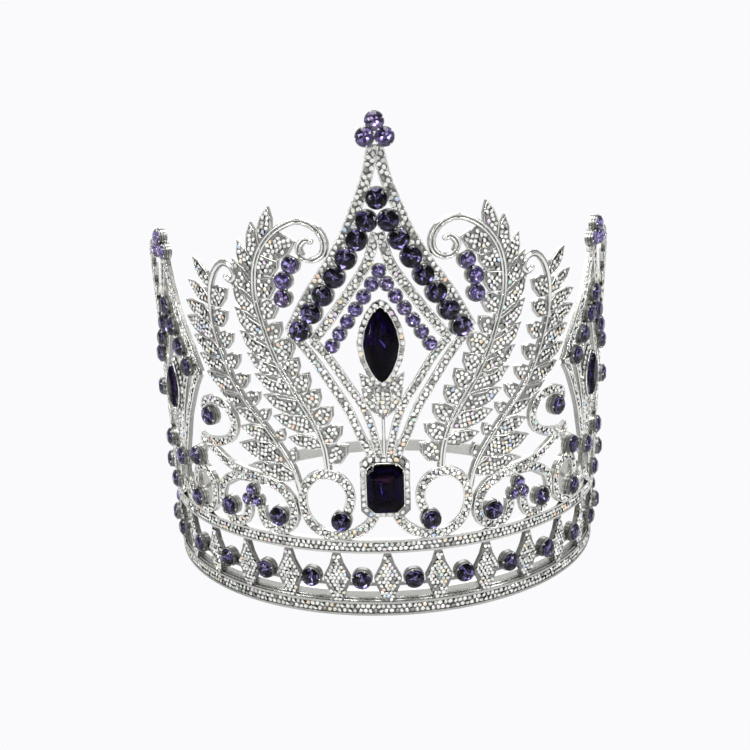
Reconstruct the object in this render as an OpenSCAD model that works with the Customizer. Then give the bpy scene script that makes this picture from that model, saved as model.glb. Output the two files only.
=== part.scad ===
// Full-round pageant crown: a pierced cast wall set with stones, on a plain ring that closes at the back.
// Every motif is drawn flat, as a place along the wall (x) and a height (y), and then wrapped on the wall.

/* [Wall] */
// Outer diameter of the wall at the base
base_d = 180; // [170:1:190]
// Thickness of the cast metal
wall_t = 1.6; // [1.4:0.1:2.2]
// How far the wall leans out, for each millimetre of height
flare = 0.03; // [0:0.01:0.06]
// Half of the arc that carries the cast work, in degrees
front_half_arc = 110; // [109:1:116]

/* [Bands] */
// Height of the stone-set band at the base
band_h = 5.5; // [5:0.5:6.5]
// Height of the open gallery between the two bands
gallery_h = 19.7; // [19.4:0.1:21]
// Height of the stone-set rail above the gallery
rail_h = 5; // [4.5:0.5:6]
// How far the rims of both bands stand out from their beds
rim = 0.5; // [0.3:0.1:0.8]
// Height of the plain ring inside
ring_h = 6; // [5.5:0.5:7]
// Thickness of the plain ring
ring_t = 1.3; // [1:0.1:1.6]
// Height of the wire that carries the gallery stones
wire_h = 1.2; // [1:0.1:1.5]

/* [Spires] */
// Height of the centre spire above its foot
spire_h = 110; // [104:1:116]
// Half width of the centre spire, to the middle of its bars
spire_w = 31.5; // [30:0.5:33]
// Height of each side spire above its foot
side_spire_h = 80; // [77:1:83]
// Half width of each side spire
side_spire_w = 19.5; // [18:0.5:21]
// Height of the foot of the centre spire
spire_foot = 60; // [59.5:0.5:60.5]
// Height of the foot of each side spire
side_foot = 53; // [52.5:0.5:53.5]
// Width of a spire's bars
bar_w = 3.8; // [3.2:0.1:4.2]

/* [Scrolls and fronds] */
// Height of the scrolls beside the centre spire's foot
scroll_h = 27; // [26:0.5:28]
// Height of the scrolls beside a side spire's foot
side_scroll_h = 20.3; // [19.5:0.1:21]
// Width of a scroll's stone-set band
scroll_w = 3.5; // [3.2:0.1:4]
// Height of the inner frond
frond_a_h = 89; // [86:1:92]
// Height of the outer frond
frond_b_h = 75; // [72:1:78]
// Width of a leaf, as a share of its length
leaf_plump = 0.42; // [0.36:0.01:0.46]
// The same for the leaves on the inner side of a frond, which touch each other
inner_plump = 0.75; // [0.7:0.01:0.8]
// Width of a frond's plain stem
stem_w = 2.2; // [2:0.1:2.6]

/* [Stones] */
// Diameter of a main round stone
stone_d = 6.8; // [6.6:0.1:7]
// Diameter of the light stones beside the fronds
light_d = 5.6; // [5.3:0.1:5.8]
// Diameter of a top trefoil's stones
top_d = 5.6; // [5:0.1:5.8]
// Diameter of the inner chevron's stones
small_d = 4.3; // [3.8:0.1:4.5]
// Diameter of the heart trefoil's stones
trefoil_d = 4; // [3.8:0.1:4.2]
// Length of the centre marquise stone
marquise_l = 26; // [24:0.5:27]
// Length of a side marquise stone
side_marquise_l = 18.5; // [17:0.5:19.5]
// Width of a marquise, as a share of its length
marquise_plump = 0.46; // [0.42:0.01:0.5]
// Height of the octagon stone
octagon_l = 18; // [16:0.5:18.5]
// Width of the octagon stone, as a share of its height
octagon_plump = 0.72; // [0.66:0.01:0.76]
// How far the closed cups stand out from the wall
cup_rise = 0.9; // [0.6:0.1:1.2]
// Width of a cup's edge around its stone
cup_edge = 0.45; // [0.4:0.05:0.5]
// Width of the bead border round the marquise and octagon stones
border_w = 2.4; // [2:0.1:2.6]

/* [Hidden] */
$fn = 48;
gap = 0.1;                       // clear space between a stone and its cup
base_r = base_d / 2;
map_r = base_r + 2;              // radius at which lengths along the wall are measured
pitch = 12;                      // degrees from one lozenge of the gallery to the next
lozenges = 9;                    // lozenges on each side of the middle one
side_at = 60 * PI / 180 * map_r; // place of the side spires along the wall
rail_foot = band_h + gallery_h;
rail_top = rail_foot + rail_h;
ring_foot = 3;
cup_depth = wall_t - 0.2;        // how far a cup reaches back into the wall
stone_rise = 0.32;               // height of a stone over its cup, as a share of its diameter
weld = 0.03;                     // overlap that fuses the flat shapes of one motif
lozenge_w = 0.52 * gallery_h;    // full width of a lozenge
stone_y = band_h + 0.49 * gallery_h;

// Radius of the wall's face at a height, and the angle of a place along the wall.
function face_r(y) = base_r + flare * y;
function turn(x) = x / map_r * 180 / PI;
// A flat point as seen square-on by a panel whose middle is at x0.
function wrap(p, x0) = [face_r(p[1]) * sin(turn(p[0] - x0)), p[1]];

// A smooth curve through hand-placed points, cut into n steps for each span.
function spline(a, b, c, d, t) =
    0.5 * (2 * b + (c - a) * t + (2 * a - 5 * b + 4 * c - d) * t * t + (3 * b - a - 3 * c + d) * t * t * t);
function at(p, i) = p[max(0, min(len(p) - 1, i))];
function smooth(p, n) = concat(
    [for (i = [0:len(p) - 2]) for (k = [0:n - 1]) spline(at(p, i - 1), p[i], p[i + 1], at(p, i + 2), k / n)],
    [p[len(p) - 1]]);
// Points beside a curve, d to its left.
function beside(p, i, d) =
    let (v = at(p, i + 1) - at(p, i - 1), l = norm(v)) p[i] + d * [-v[1], v[0]] / l;
// A hand-drawn path placed at foot, sized in shares of unit and turned over when flip is -1.
function placed(shares, foot, unit, flip = 1) = [for (q = shares) foot + [flip * q[0] * unit, q[1] * unit]];
function about(p, x) = [2 * x - p[0], p[1]];

// Flat shapes. x0 is the middle of the panel that they are cut in.
module band(path, w, x0, n = 3) {
    p = smooth(path, n);
    for (i = [0:len(p) - 2])
        polygon([wrap(beside(p, i, w / 2), x0), wrap(beside(p, i + 1, w / 2), x0),
                 wrap(beside(p, i + 1, -w / 2), x0), wrap(beside(p, i, -w / 2), x0)]);
}
module leaf(root, tip, x0, plump) {
    v = tip - root;
    side = [-v[1], v[0]] * plump;
    shape = [[0, 0.2], [0.35, 0.5], [0.72, 0.36], [1, 0], [0.72, -0.36], [0.35, -0.5], [0, -0.2]];
    polygon([for (q = shape) wrap(root + q[0] * v + q[1] * side, x0)]);
}

// Shares of the half width and of the height of a spire, from its foot to its corner and up to its tip.
outer_low = [[0.1, 0], [0.25, 0.09], [0.38, 0.18], [0.57, 0.27], [0.79, 0.365], [1, 0.432]];
outer_high = [[1, 0.432], [0.77, 0.545], [0.55, 0.636], [0.35, 0.727], [0.21, 0.818], [0.09, 0.909],
              [0.02, 1]];
inner_low = [[0.06, 0], [0.14, 0.09], [0.27, 0.18], [0.53, 0.27], [0.79, 0.355], [1, 0.403]];
inner_high = [[1, 0.403], [0.78, 0.46], [0.48, 0.545], [0.19, 0.636], [0.1, 0.685], [0.02, 0.74]];
// Shares of a scroll's height, from beside the foot of the spire round to its stone.
scroll_path = [[0.12, 0.42], [0.24, 0.22], [0.41, 0.11], [0.63, 0.06], [0.85, 0.085], [1.04, 0.22],
               [1.13, 0.44], [1.12, 0.67], [1, 0.85], [0.8, 0.94], [0.6, 0.88], [0.48, 0.72], [0.47, 0.54],
               [0.52, 0.4]];
scroll_stone_at = [0.6, 0.285];
// The inner frond, in shares of its height: the stem, then each leaf's place along it and its tip.
frond_a_foot = [20.5, 56.5];
stem_a = [[0, 0], [0.01, 0.1], [0.045, 0.2], [0.095, 0.29], [0.15, 0.38], [0.2, 0.48], [0.24, 0.6],
          [0.265, 0.71], [0.26, 0.81], [0.23, 0.89], [0.175, 0.955], [0.105, 0.995], [0.05, 1],
          [-0.005, 0.97], [-0.03, 0.92], [-0.02, 0.875], [0.017, 0.855], [0.055, 0.865], [0.07, 0.9],
          [0.045, 0.93], [0.02, 0.925]];
leaves_a = [[9.2, 0.183, 1.055], [8.3, 0.264, 0.995], [7.5, 0.33, 0.925], [6.7, 0.362, 0.852],
            [6, 0.376, 0.755], [5.3, 0.37, 0.66], [4.6, 0.354, 0.565], [3.9, 0.326, 0.475],
            [3.2, 0.298, 0.39], [2.5, 0.264, 0.305], [1.8, 0.225, 0.22], [1.1, 0.163, 0.135],
            [9, 0.079, 0.925], [7.8, 0.15, 0.875], [7, 0.17, 0.79], [6.2, 0.17, 0.7], [5.5, 0.16, 0.61],
            [4.8, 0.115, 0.55], [4.1, 0.1, 0.47], [3.4, 0.06, 0.41], [2.7, 0.02, 0.345], [2, -0.03, 0.275],
            [1.3, -0.065, 0.195], [0.5, -0.085, 0.115]];
// How many leaves of either frond, the first in its list, lie on its outer side
outer_leaves = 12;
// The outer frond, in shares of its height.
frond_b_foot = [33, 55];
stem_b = [[-0.02, -0.09], [0.01, 0.02], [0.09, 0.15], [0.185, 0.265], [0.26, 0.345], [0.325, 0.44],
          [0.373, 0.545], [0.413, 0.665], [0.433, 0.77], [0.427, 0.87], [0.39, 0.957], [0.333, 1.005],
          [0.28, 0.995], [0.257, 0.95], [0.28, 0.925], [0.31, 0.94]];
leaves_b = [[9.2, 0.532, 1.02], [8.4, 0.587, 0.905], [7.6, 0.627, 0.8], [6.8, 0.633, 0.72], [6, 0.587, 0.63],
            [5.2, 0.553, 0.54], [4.4, 0.507, 0.455], [3.6, 0.42, 0.37], [2.8, 0.335, 0.3], [2.1, 0.3, 0.205],
            [1.4, 0.32, 0.115], [0.7, 0.24, 0.02],
            [8.4, 0.31, 0.885], [7.4, 0.32, 0.775], [6.5, 0.295, 0.67], [5.6, 0.265, 0.57],
            [4.7, 0.22, 0.475], [3.8, 0.165, 0.395], [2.9, 0.115, 0.315], [2, 0.05, 0.22], [1.2, 0, 0.13]];
// The heart of two facing scrolls and the open scroll above it, in millimetres over the rail.
heart_mid = 51.9;
heart_path = [[51, 20.5], [44, 20], [38, 17], [35, 12], [35, 6.5], [37.8, 2.6], [42.3, 1.4], [46.6, 2.9],
              [48.7, 7], [48.4, 10.6]];
long_band = [[45, 21.3], [53, 22], [61, 23.5], [67, 26], [73, 29.5], [79, 32]];
open_scroll = [[79, 30.5], [72, 31.2], [66, 32.4], [61, 35], [58.7, 39.2], [59.3, 43.7], [63, 47.2],
               [69, 48.2], [74.5, 46.6], [75.5, 43]];
heart_stones = [[40.4, 7.6], [2 * heart_mid - 40.4, 7.6]];
heart_trefoil_at = [heart_mid, 13.4];
petals = [[0, 2.7], [2.3, -1.3], [-2.3, -1.3]]; // the three stones of that trefoil, from its middle
open_scroll_stone = [70.8, 41.9];
// The light stones beside the inner frond, in shares of its height.
light_stones = [[0.101, 0.837], [0.134, 0.775], [0.14, 0.706]];

// Places of the round stones, flat. A chevron runs down both sides of a spire in n pairs below its top stone.
function chevron(top, first, last, n, bow) = concat([[0, top]],
    [for (i = [0:n - 1]) for (s = [-1, 1])
        let (t = i / max(1, n - 1)) [s * (first[0] + (last[0] - first[0]) * pow(t, bow)),
                                     first[1] + (last[1] - first[1]) * t]]);
outer_chevron = chevron(spire_foot + 0.845 * spire_h, [3.5, spire_foot + 0.778 * spire_h],
                        [0.87 * spire_w, spire_foot + 0.439 * spire_h], 7, 1.1);
// The last stones of the inner chevron lean on its lower bars, and its cups are wide enough to touch each other.
inner_lean = atan2(0.048 * spire_h, 0.155 * spire_w);
inner_reach = small_d / 2 + cup_edge + 0.38 * bar_w;
inner_last = [0.701 * spire_w - inner_reach / sin(inner_lean), spire_foot + 0.391 * spire_h];
inner_chevron = chevron(spire_foot + 0.626 * spire_h, [2.45, spire_foot + 0.585 * spire_h], inner_last, 6, 1);
inner_cup_d = max(small_d, norm(inner_chevron[3] - inner_chevron[1]) + 0.09 - 2 * cup_edge);
side_chevron = chevron(side_foot + 0.72 * side_spire_h, [4, side_foot + 0.626 * side_spire_h],
                       [0.72 * side_spire_w, side_foot + 0.45 * side_spire_h], 3, 1);
function trefoil(tip) = [[0, tip + 0.5 * top_d], [-3.1, tip - 0.4 * top_d], [3.1, tip - 0.4 * top_d]];
centre_tip = spire_foot + spire_h + 4.7;
side_tip = side_foot + side_spire_h + 1;
marquise_y = spire_foot + 0.395 * spire_h;
side_marquise_y = side_foot + 0.322 * side_spire_h;
octagon_y = spire_foot - octagon_l / 2;
// The wall's axis lies behind the middle of the whole crown, because the tall spire leans forward.
axis_y = (face_r(centre_tip) + cup_rise + stone_rise * top_d - face_r(ring_foot) + wall_t) / 2;
function scroll_stone(x, h, s) = [x + s * scroll_stone_at[0] * h, rail_top + scroll_stone_at[1] * h];
// Stones round the foot of the side spire at x: one in the middle, one over each scroll, one in each scroll.
function foot_stones(x) = concat([[x, side_foot - 0.53 * stone_d]],
    [for (s = [-1, 1]) [x + s * 0.7 * side_scroll_h, rail_top + 1.15 * side_scroll_h]],
    [for (s = [-1, 1]) scroll_stone(x, side_scroll_h, s)]);
function shifted(p, x) = [for (q = p) [q[0] + x, q[1]]];
function raised(p) = [for (q = p) [q[0], q[1] + rail_top]];
gallery_places = [for (k = [-lozenges:lozenges - 1]) [(k + 0.5) * pitch * PI / 180 * map_r, stone_y]];

// Places on one side of the crown; s is -1 on its left and 1 on its right, and far places are turned over.
function heart_places(s, far) = handed(raised(heart_stones), s, far);
function curl_place(s, far) = handed(raised([open_scroll_stone]), s, far)[0];
function trefoil_places(s) = [for (far = [false, true]) handed(raised([heart_trefoil_at]), s, far)[0]];
function light_places(s) = handed(placed(light_stones, frond_a_foot, frond_a_h), s, false);
// Their cups are wide enough to touch each other.
light_cup_d = max(light_d, norm(light_places(1)[1] - light_places(1)[0]) + 0.15 - 2 * cup_edge);
function rear_places(s) = concat(heart_places(s, true), [curl_place(s, true)]);
function side_chevron_places(s) = shifted(side_chevron, s * side_at);
function side_top_places(s) = shifted(trefoil(side_tip), s * side_at);
sides = [-1, 1];

// Motifs, flat, in the panel with its middle at x0.
module spire(x, foot, w, h, inner_w, bw, x0) {
    for (s = [-1, 1]) {
        band([for (q = outer_low) [x + s * q[0] * w, foot + q[1] * h]], 0.82 * bw, x0, 2);
        band([for (q = outer_high) [x + s * q[0] * w, foot + q[1] * h]], bw, x0, 2);
        band([for (q = inner_low) [x + s * q[0] * inner_w, foot + q[1] * h]], 0.76 * bw, x0, 2);
        band([for (q = inner_high) [x + s * q[0] * inner_w, foot + q[1] * h]], 0.9 * bw, x0, 2);
    }
    sprig = [[0, 0.155, 0, 0.31], [0, 0.16, -0.065, 0.25], [0, 0.16, 0.065, 0.25], [0, 0.2, -0.07, 0.3],
             [0, 0.2, 0.07, 0.3]];
    for (q = sprig)
        leaf([x, foot + q[1] * h], [x + q[2] * h * inner_w / w / 0.74, foot + q[3] * h], x0, leaf_plump);
    band([[x, foot + 0.02 * h], [x, foot + 0.2 * h]], 0.5 * stem_w, x0, 1);
}
module scroll_pair(x, h, w, x0) {
    for (s = [-1, 1]) band(placed(scroll_path, [x, rail_top], h, s), w, x0);
}
// far turns a motif over about the side spire, and s picks the side of the crown.
function handed(p, s, far) = [for (q = p) [s * (far ? 2 * side_at - q[0] : q[0]), q[1]]];
module frond(stem, leaves, foot, unit, s, far, x0) {
    path = handed(placed(stem, foot, unit), s, far);
    tips = handed(placed([for (l = leaves) [l[1], l[2]]], foot, unit), s, far);
    band(path, stem_w, x0, 2);
    for (i = [0:len(leaves) - 1])
        leaf(along(path, leaves[i][0]), tips[i], x0, i < outer_leaves ? leaf_plump : inner_plump);
}
// The point at step t of a path, where whole steps are its own points.
function along(p, t) = let (i = floor(t)) spline(at(p, i - 1), at(p, i), at(p, i + 1), at(p, i + 2), t - i);
// The heart, its long band and the open scroll. far turns them over about the side spire.
module heart(s, far, x0) {
    paths = [heart_path, [for (q = heart_path) about(q, heart_mid)], long_band, open_scroll];
    for (p = paths) band(handed(raised(p), s, far), scroll_w, x0, 2);
}

// Cuts a flat motif square-on at the place x0 and keeps what lies in the wall.
module wall_shell() {
    top = spire_foot + spire_h + 12;
    rotate_extrude($fn = 180)
        polygon([[face_r(0) - wall_t, 0], [face_r(0), 0], [face_r(top), top], [face_r(top) - wall_t, top]]);
}
module cast(x0) {
    intersection() {
        wall_shell();
        rotate([0, 0, turn(x0)]) rotate([90, 0, 0])
            translate([0, 0, base_r * 0.75]) linear_extrude(height = base_r * 0.45)
                offset(delta = weld) children();
    }
}
// Sets its children on the wall's face at a flat place, looking outward along z.
module on_wall(p) {
    rotate([0, 0, turn(p[0])]) translate([0, -face_r(p[1]), p[1]]) rotate([90, 0, 0]) children();
}
module arc_band(profile, arc) {
    rotate([0, 0, -90 - arc / 2]) rotate_extrude(angle = arc, $fn = 180) polygon(profile);
}
function rimmed(y, h, behind = 0) = [
    [face_r(y) - wall_t - behind, y], [face_r(y) + rim, y], [face_r(y) + rim, y + 0.16 * h],
    [face_r(y), y + 0.16 * h], [face_r(y), y + 0.84 * h], [face_r(y) + rim, y + 0.84 * h],
    [face_r(y) + rim, y + h], [face_r(y) - wall_t - behind, y + h]];
module cup(p, d) {
    on_wall(p) translate([0, 0, -cup_depth]) cylinder(d = d + 2 * cup_edge, h = cup_depth + cup_rise);
}
// Three small cups cast as one plate.
module trefoil_cup(p) {
    on_wall(p) translate([0, 0, -cup_depth]) linear_extrude(height = cup_depth + cup_rise)
        for (q = petals) translate(q) circle(d = trefoil_d + 2 * cup_edge);
}
module trefoil_stones(s) {
    color("mediumpurple") translate([0, axis_y, 0]) for (p = trefoil_places(s)) on_wall(p)
        for (q = petals) translate([q[0], q[1], cup_rise + gap]) brilliant(trefoil_d);
}
module round_stone(p, d) {
    translate([0, axis_y, 0]) on_wall(p) translate([0, 0, cup_rise + gap]) brilliant(d);
}

// A flat-backed brilliant: girdle, main facets and a table.
module brilliant(d) {
    high = stone_rise * d;
    hull() {
        linear_extrude(height = 0.3 * high) circle(d = d, $fn = 10);
        linear_extrude(height = high) circle(d = 0.58 * d, $fn = 10);
    }
}
// Outlines of the fancy stones, l high, grown on all sides by edge.
function octagon(l, edge) = let (a = l * octagon_plump / 2 + edge, b = l / 2 + edge, c = 0.14 * l)
    [[a, b - c], [a - c, b], [c - a, b], [-a, b - c], [-a, c - b], [c - a, -b], [a - c, -b], [a, c - b]];
function marquise(l, edge) = let (a = l * marquise_plump / 2 + edge, b = l / 2 + edge)
    [for (k = [0:15]) let (u = k * 22.5) [a * cos(u) * (1 - 0.28 * pow(abs(sin(u)), 1.5)), b * sin(u)]];
// A fancy stone with its table cut square over the girdle.
module fancy(outline, high) {
    hull() {
        linear_extrude(height = 0.25 * high) polygon(outline);
        linear_extrude(height = high) polygon([for (q = outline) 0.66 * q]);
    }
}
module fancy_stone(p, outline, high) {
    translate([0, axis_y, 0]) on_wall(p) translate([0, 0, cup_rise + gap]) fancy(outline, high);
}
// The closed back of a fancy stone, with the border that carries its beads.
module fancy_cup(p, outline, border) {
    on_wall(p) translate([0, 0, -cup_depth]) linear_extrude(height = cup_depth + cup_rise) polygon(outline);
    on_wall(p) translate([0, 0, -cup_depth]) linear_extrude(height = cup_depth + 0.2) polygon(border);
}

// One wing of the cast work: two fronds, the heart and the open scroll. s picks the side of the crown.
module wing(s) {
    cast(s * 37) {
        frond(stem_a, leaves_a, frond_a_foot, frond_a_h, s, false, s * 37);
        frond(stem_b, leaves_b, frond_b_foot, frond_b_h, s, false, s * 37);
    }
    cast(s * 58) heart(s, false, s * 58);
}
// Behind a side spire the outer frond, the heart and the open scroll come again, turned over.
module far_wing(s) {
    at_x = s * (2 * side_at - 58);
    cast(at_x) {
        heart(s, true, at_x);
        frond(stem_b, leaves_b, frond_b_foot, frond_b_h, s, true, at_x);
    }
}
module side_spire(s) {
    cast(s * side_at) {
        spire(s * side_at, side_foot, side_spire_w, side_spire_h, 0.54 * side_spire_w, 0.92 * bar_w,
              s * side_at);
        scroll_pair(s * side_at, side_scroll_h, 0.92 * scroll_w, s * side_at);
        band([[s * side_at, rail_top + 0.3 * side_scroll_h], [s * side_at, side_foot - 4]], stem_w,
             s * side_at, 1);
    }
}
module gallery() {
    shape = [[0.1, 1], [0.25, 0.74], [0.5, 0.5], [0.48, 0.4], [0.3, 0.18], [0.16, 0]];
    outline = concat(shape, [for (i = [len(shape) - 1:-1:0]) [-shape[i][0], shape[i][1]]]);
    for (k = [-lozenges:lozenges]) rotate([0, 0, k * pitch])
        cast(0) polygon([for (q = outline)
            wrap([q[0] * lozenge_w, band_h - 0.3 + q[1] * (gallery_h + 0.6)], 0)]);
}
module plain_ring() {
    inner = face_r(ring_foot) - wall_t - ring_t + 0.15;
    rotate_extrude($fn = 180) translate([inner, ring_foot]) square([ring_t, ring_h]);
}
module gallery_wire() {
    y = stone_y - 0.5 * stone_d;
    section = [[-wall_t, 0], [-0.5, 0], [-0.5, wire_h], [-wall_t, wire_h]];
    arc_band([for (q = section) [face_r(y) + q[0], y + q[1]]], 2 * front_half_arc);
}
module frame() {
    color("silver") translate([0, axis_y, 0]) union() {
        arc_band(rimmed(0, band_h), 2 * front_half_arc);
        arc_band(rimmed(rail_foot, rail_h, 0.2), 2 * front_half_arc);
        plain_ring();
        gallery_wire();
        gallery();
        cast(0) {
            spire(0, spire_foot, spire_w, spire_h, 0.74 * spire_w, bar_w, 0);
            scroll_pair(0, scroll_h, scroll_w, 0);
        }
        for (s = [-1, 1]) {
            wing(s);
            side_spire(s);
            far_wing(s);
        }
        cups();
    }
}

// The closed cups, each as wide as its stone and one edge all round.
module cups() {
    for (p = concat(gallery_places, outer_chevron)) cup(p, stone_d);
    for (p = inner_chevron) cup(p, inner_cup_d);
    for (p = trefoil(centre_tip)) cup(p, top_d);
    fancy_cup([0, octagon_y], octagon(octagon_l, cup_edge), octagon(octagon_l, border_w));
    fancy_cup([0, marquise_y], marquise(marquise_l, cup_edge), marquise(marquise_l, border_w));
    for (s = sides) {
        cup(scroll_stone(0, scroll_h, s), stone_d);
        for (p = side_chevron_places(s)) cup(p, stone_d);
        for (p = foot_stones(s * side_at)) cup(p, stone_d);
        for (p = side_top_places(s)) cup(p, top_d);
        for (p = light_places(s)) cup(p, light_cup_d);
        for (p = trefoil_places(s)) trefoil_cup(p);
        for (far = [false, true]) {
            for (p = heart_places(s, far)) cup(p, stone_d);
            cup(curl_place(s, far), stone_d);
        }
        fancy_cup([s * side_at, side_marquise_y], marquise(side_marquise_l, cup_edge),
                  marquise(side_marquise_l, border_w));
    }
}

// Stones. Those of one field lie loose in their node, a little clear of each other.
module dark(places, d) { color("indigo") for (p = places) round_stone(p, d); }
module light(places, d) { color("mediumpurple") for (p = places) round_stone(p, d); }
module octagon_stone() { color("indigo") fancy_stone([0, octagon_y], octagon(octagon_l, 0), 3.2); }
module centre_marquise_stone() { color("indigo") fancy_stone([0, marquise_y], marquise(marquise_l, 0), 3.2); }
module side_marquise(s) {
    color("indigo") fancy_stone([s * side_at, side_marquise_y], marquise(side_marquise_l, 0), 2.6);
}
module left_marquise_stone() { side_marquise(-1); }
module right_marquise_stone() { side_marquise(1); }
module chevron_stone_1() { dark([outer_chevron[0]], stone_d); }
module chevron_stone_2() { dark([outer_chevron[1]], stone_d); }
module chevron_stone_3() { dark([outer_chevron[2]], stone_d); }
module chevron_stone_4() { dark([outer_chevron[3]], stone_d); }
module chevron_stone_5() { dark([outer_chevron[4]], stone_d); }
module chevron_stone_6() { dark([outer_chevron[5]], stone_d); }
module chevron_stone_7() { dark([outer_chevron[6]], stone_d); }
module chevron_stone_8() { dark([outer_chevron[7]], stone_d); }
module chevron_stone_9() { dark([outer_chevron[8]], stone_d); }
module chevron_stone_10() { dark([outer_chevron[9]], stone_d); }
module chevron_stone_11() { dark([outer_chevron[10]], stone_d); }
module chevron_stone_12() { dark([outer_chevron[11]], stone_d); }
module chevron_stone_13() { dark([outer_chevron[12]], stone_d); }
module chevron_stone_14() { dark([outer_chevron[13]], stone_d); }
module chevron_stone_15() { dark([outer_chevron[14]], stone_d); }
module top_stone_1() { light([trefoil(centre_tip)[0]], top_d); }
module top_stone_2() { light([trefoil(centre_tip)[1]], top_d); }
module top_stone_3() { light([trefoil(centre_tip)[2]], top_d); }
module left_scroll_stone() { dark([scroll_stone(0, scroll_h, -1)], stone_d); }
module left_light_stone_1() { light([light_places(-1)[0]], light_d); }
module left_light_stone_2() { light([light_places(-1)[1]], light_d); }
module left_light_stone_3() { light([light_places(-1)[2]], light_d); }
module left_heart_stone_1() { dark([heart_places(-1, false)[0]], stone_d); }
module left_heart_stone_2() { dark([heart_places(-1, false)[1]], stone_d); }
module left_curl_stone() { dark([curl_place(-1, false)], stone_d); }
module right_scroll_stone() { dark([scroll_stone(0, scroll_h, 1)], stone_d); }
module right_light_stone_1() { light([light_places(1)[0]], light_d); }
module right_light_stone_2() { light([light_places(1)[1]], light_d); }
module right_light_stone_3() { light([light_places(1)[2]], light_d); }
module right_heart_stone_1() { dark([heart_places(1, false)[0]], stone_d); }
module right_heart_stone_2() { dark([heart_places(1, false)[1]], stone_d); }
module right_curl_stone() { dark([curl_place(1, false)], stone_d); }
module gallery_stones() { dark(gallery_places, stone_d); }
module inner_chevron_stones() { light(inner_chevron, small_d); }
module left_chevron_stones() { dark(side_chevron_places(-1), stone_d); }
module left_top_stones() { light(side_top_places(-1), top_d); }
module left_foot_stones() { dark(foot_stones(-side_at), stone_d); }
module left_trefoil_stones() { trefoil_stones(-1); }
module left_rear_stones() { dark(rear_places(-1), stone_d); }
module right_chevron_stones() { dark(side_chevron_places(1), stone_d); }
module right_top_stones() { light(side_top_places(1), top_d); }
module right_foot_stones() { dark(foot_stones(side_at), stone_d); }
module right_trefoil_stones() { trefoil_stones(1); }
module right_rear_stones() { dark(rear_places(1), stone_d); }

frame();
octagon_stone();
centre_marquise_stone();
left_marquise_stone();
right_marquise_stone();
chevron_stone_1();
chevron_stone_2();
chevron_stone_3();
chevron_stone_4();
chevron_stone_5();
chevron_stone_6();
chevron_stone_7();
chevron_stone_8();
chevron_stone_9();
chevron_stone_10();
chevron_stone_11();
chevron_stone_12();
chevron_stone_13();
chevron_stone_14();
chevron_stone_15();
top_stone_1();
top_stone_2();
top_stone_3();
left_scroll_stone();
left_light_stone_1();
left_light_stone_2();
left_light_stone_3();
left_heart_stone_1();
left_heart_stone_2();
left_curl_stone();
right_scroll_stone();
right_light_stone_1();
right_light_stone_2();
right_light_stone_3();
right_heart_stone_1();
right_heart_stone_2();
right_curl_stone();
gallery_stones();
inner_chevron_stones();
left_chevron_stones();
left_top_stones();
left_foot_stones();
left_trefoil_stones();
left_rear_stones();
right_chevron_stones();
right_top_stones();
right_foot_stones();
right_trefoil_stones();
right_rear_stones();
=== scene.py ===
# %% [markdown]
# A pageant crown stands on a pale table. It is a cast and plated wall, pierced all over and set with
# stones, on a plain ring that closes at the back. The wall's solids come from the frame. This lesson
# dresses them: it lays thousands of clear crystals in the bars and leaves, draws the polished rims and
# wires between them, cuts the violet stones, and gives everything its metal or glass.

# %% Load the frame
import math
import random

import bmesh
import bpy
from mathutils import Matrix, Vector


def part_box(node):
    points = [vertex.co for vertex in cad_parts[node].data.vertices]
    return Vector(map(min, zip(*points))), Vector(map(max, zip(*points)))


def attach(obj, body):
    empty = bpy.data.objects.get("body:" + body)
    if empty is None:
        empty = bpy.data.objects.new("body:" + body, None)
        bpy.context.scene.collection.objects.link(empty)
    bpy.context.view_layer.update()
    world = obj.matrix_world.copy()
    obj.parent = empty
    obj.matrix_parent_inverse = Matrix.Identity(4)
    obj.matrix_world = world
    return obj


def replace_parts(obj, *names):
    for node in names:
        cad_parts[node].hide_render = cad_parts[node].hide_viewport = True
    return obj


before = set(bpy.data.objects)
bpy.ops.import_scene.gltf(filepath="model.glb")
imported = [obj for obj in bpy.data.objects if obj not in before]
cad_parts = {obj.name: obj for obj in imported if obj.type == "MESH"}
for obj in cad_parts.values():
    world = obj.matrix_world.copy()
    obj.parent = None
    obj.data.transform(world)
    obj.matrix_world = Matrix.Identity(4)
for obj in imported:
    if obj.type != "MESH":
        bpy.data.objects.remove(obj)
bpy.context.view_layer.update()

# %% [markdown]
# Every ornament was drawn flat and then wrapped on the wall, which leans out a little as it rises. A place
# is therefore two lengths in millimetres, one along the wall and one up it, and one function turns such a
# place into a point in the room. The plain ring shows where the wall's axis is.

# %% The wall
MM = 0.001
WALL_RADIUS = 90.0      # of the wall's face at the table
FLARE = 0.03            # how far the face leans out for each millimetre of height
MAP_RADIUS = 92.0       # lengths along the wall are measured at this radius
RING_RADIUS = 88.64     # outside of the plain ring
FRONT_ARC = math.radians(110)
axis_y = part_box("frame")[1][1] - RING_RADIUS * MM


def on_wall(place, out=0.0):
    """The point that lies out millimetres off the wall's face at a flat place."""
    turn = place[0] / MAP_RADIUS
    radius = WALL_RADIUS + FLARE * place[1] + out
    return Vector((radius * math.sin(turn) * MM, -radius * math.cos(turn) * MM + axis_y, place[1] * MM))


def facing(place, spin=0.0):
    """The turn that stands a small piece square on the wall and spins it about its own axis."""
    turn = place[0] / MAP_RADIUS
    outward = Vector((math.sin(turn), -math.cos(turn), 0.0))
    along = Vector((math.cos(turn), math.sin(turn), 0.0))
    square = Matrix((along, outward.cross(along), outward)).transposed()
    return (square @ Matrix.Rotation(spin, 3, "Z")).to_euler()


print("the wall's axis lies", round(axis_y / MM, 2), "mm behind the origin")

# %% [markdown]
# The driving sizes of the crown, in millimetres. They are those of the cast wall, so that what is laid on
# it here lands on metal.

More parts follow.
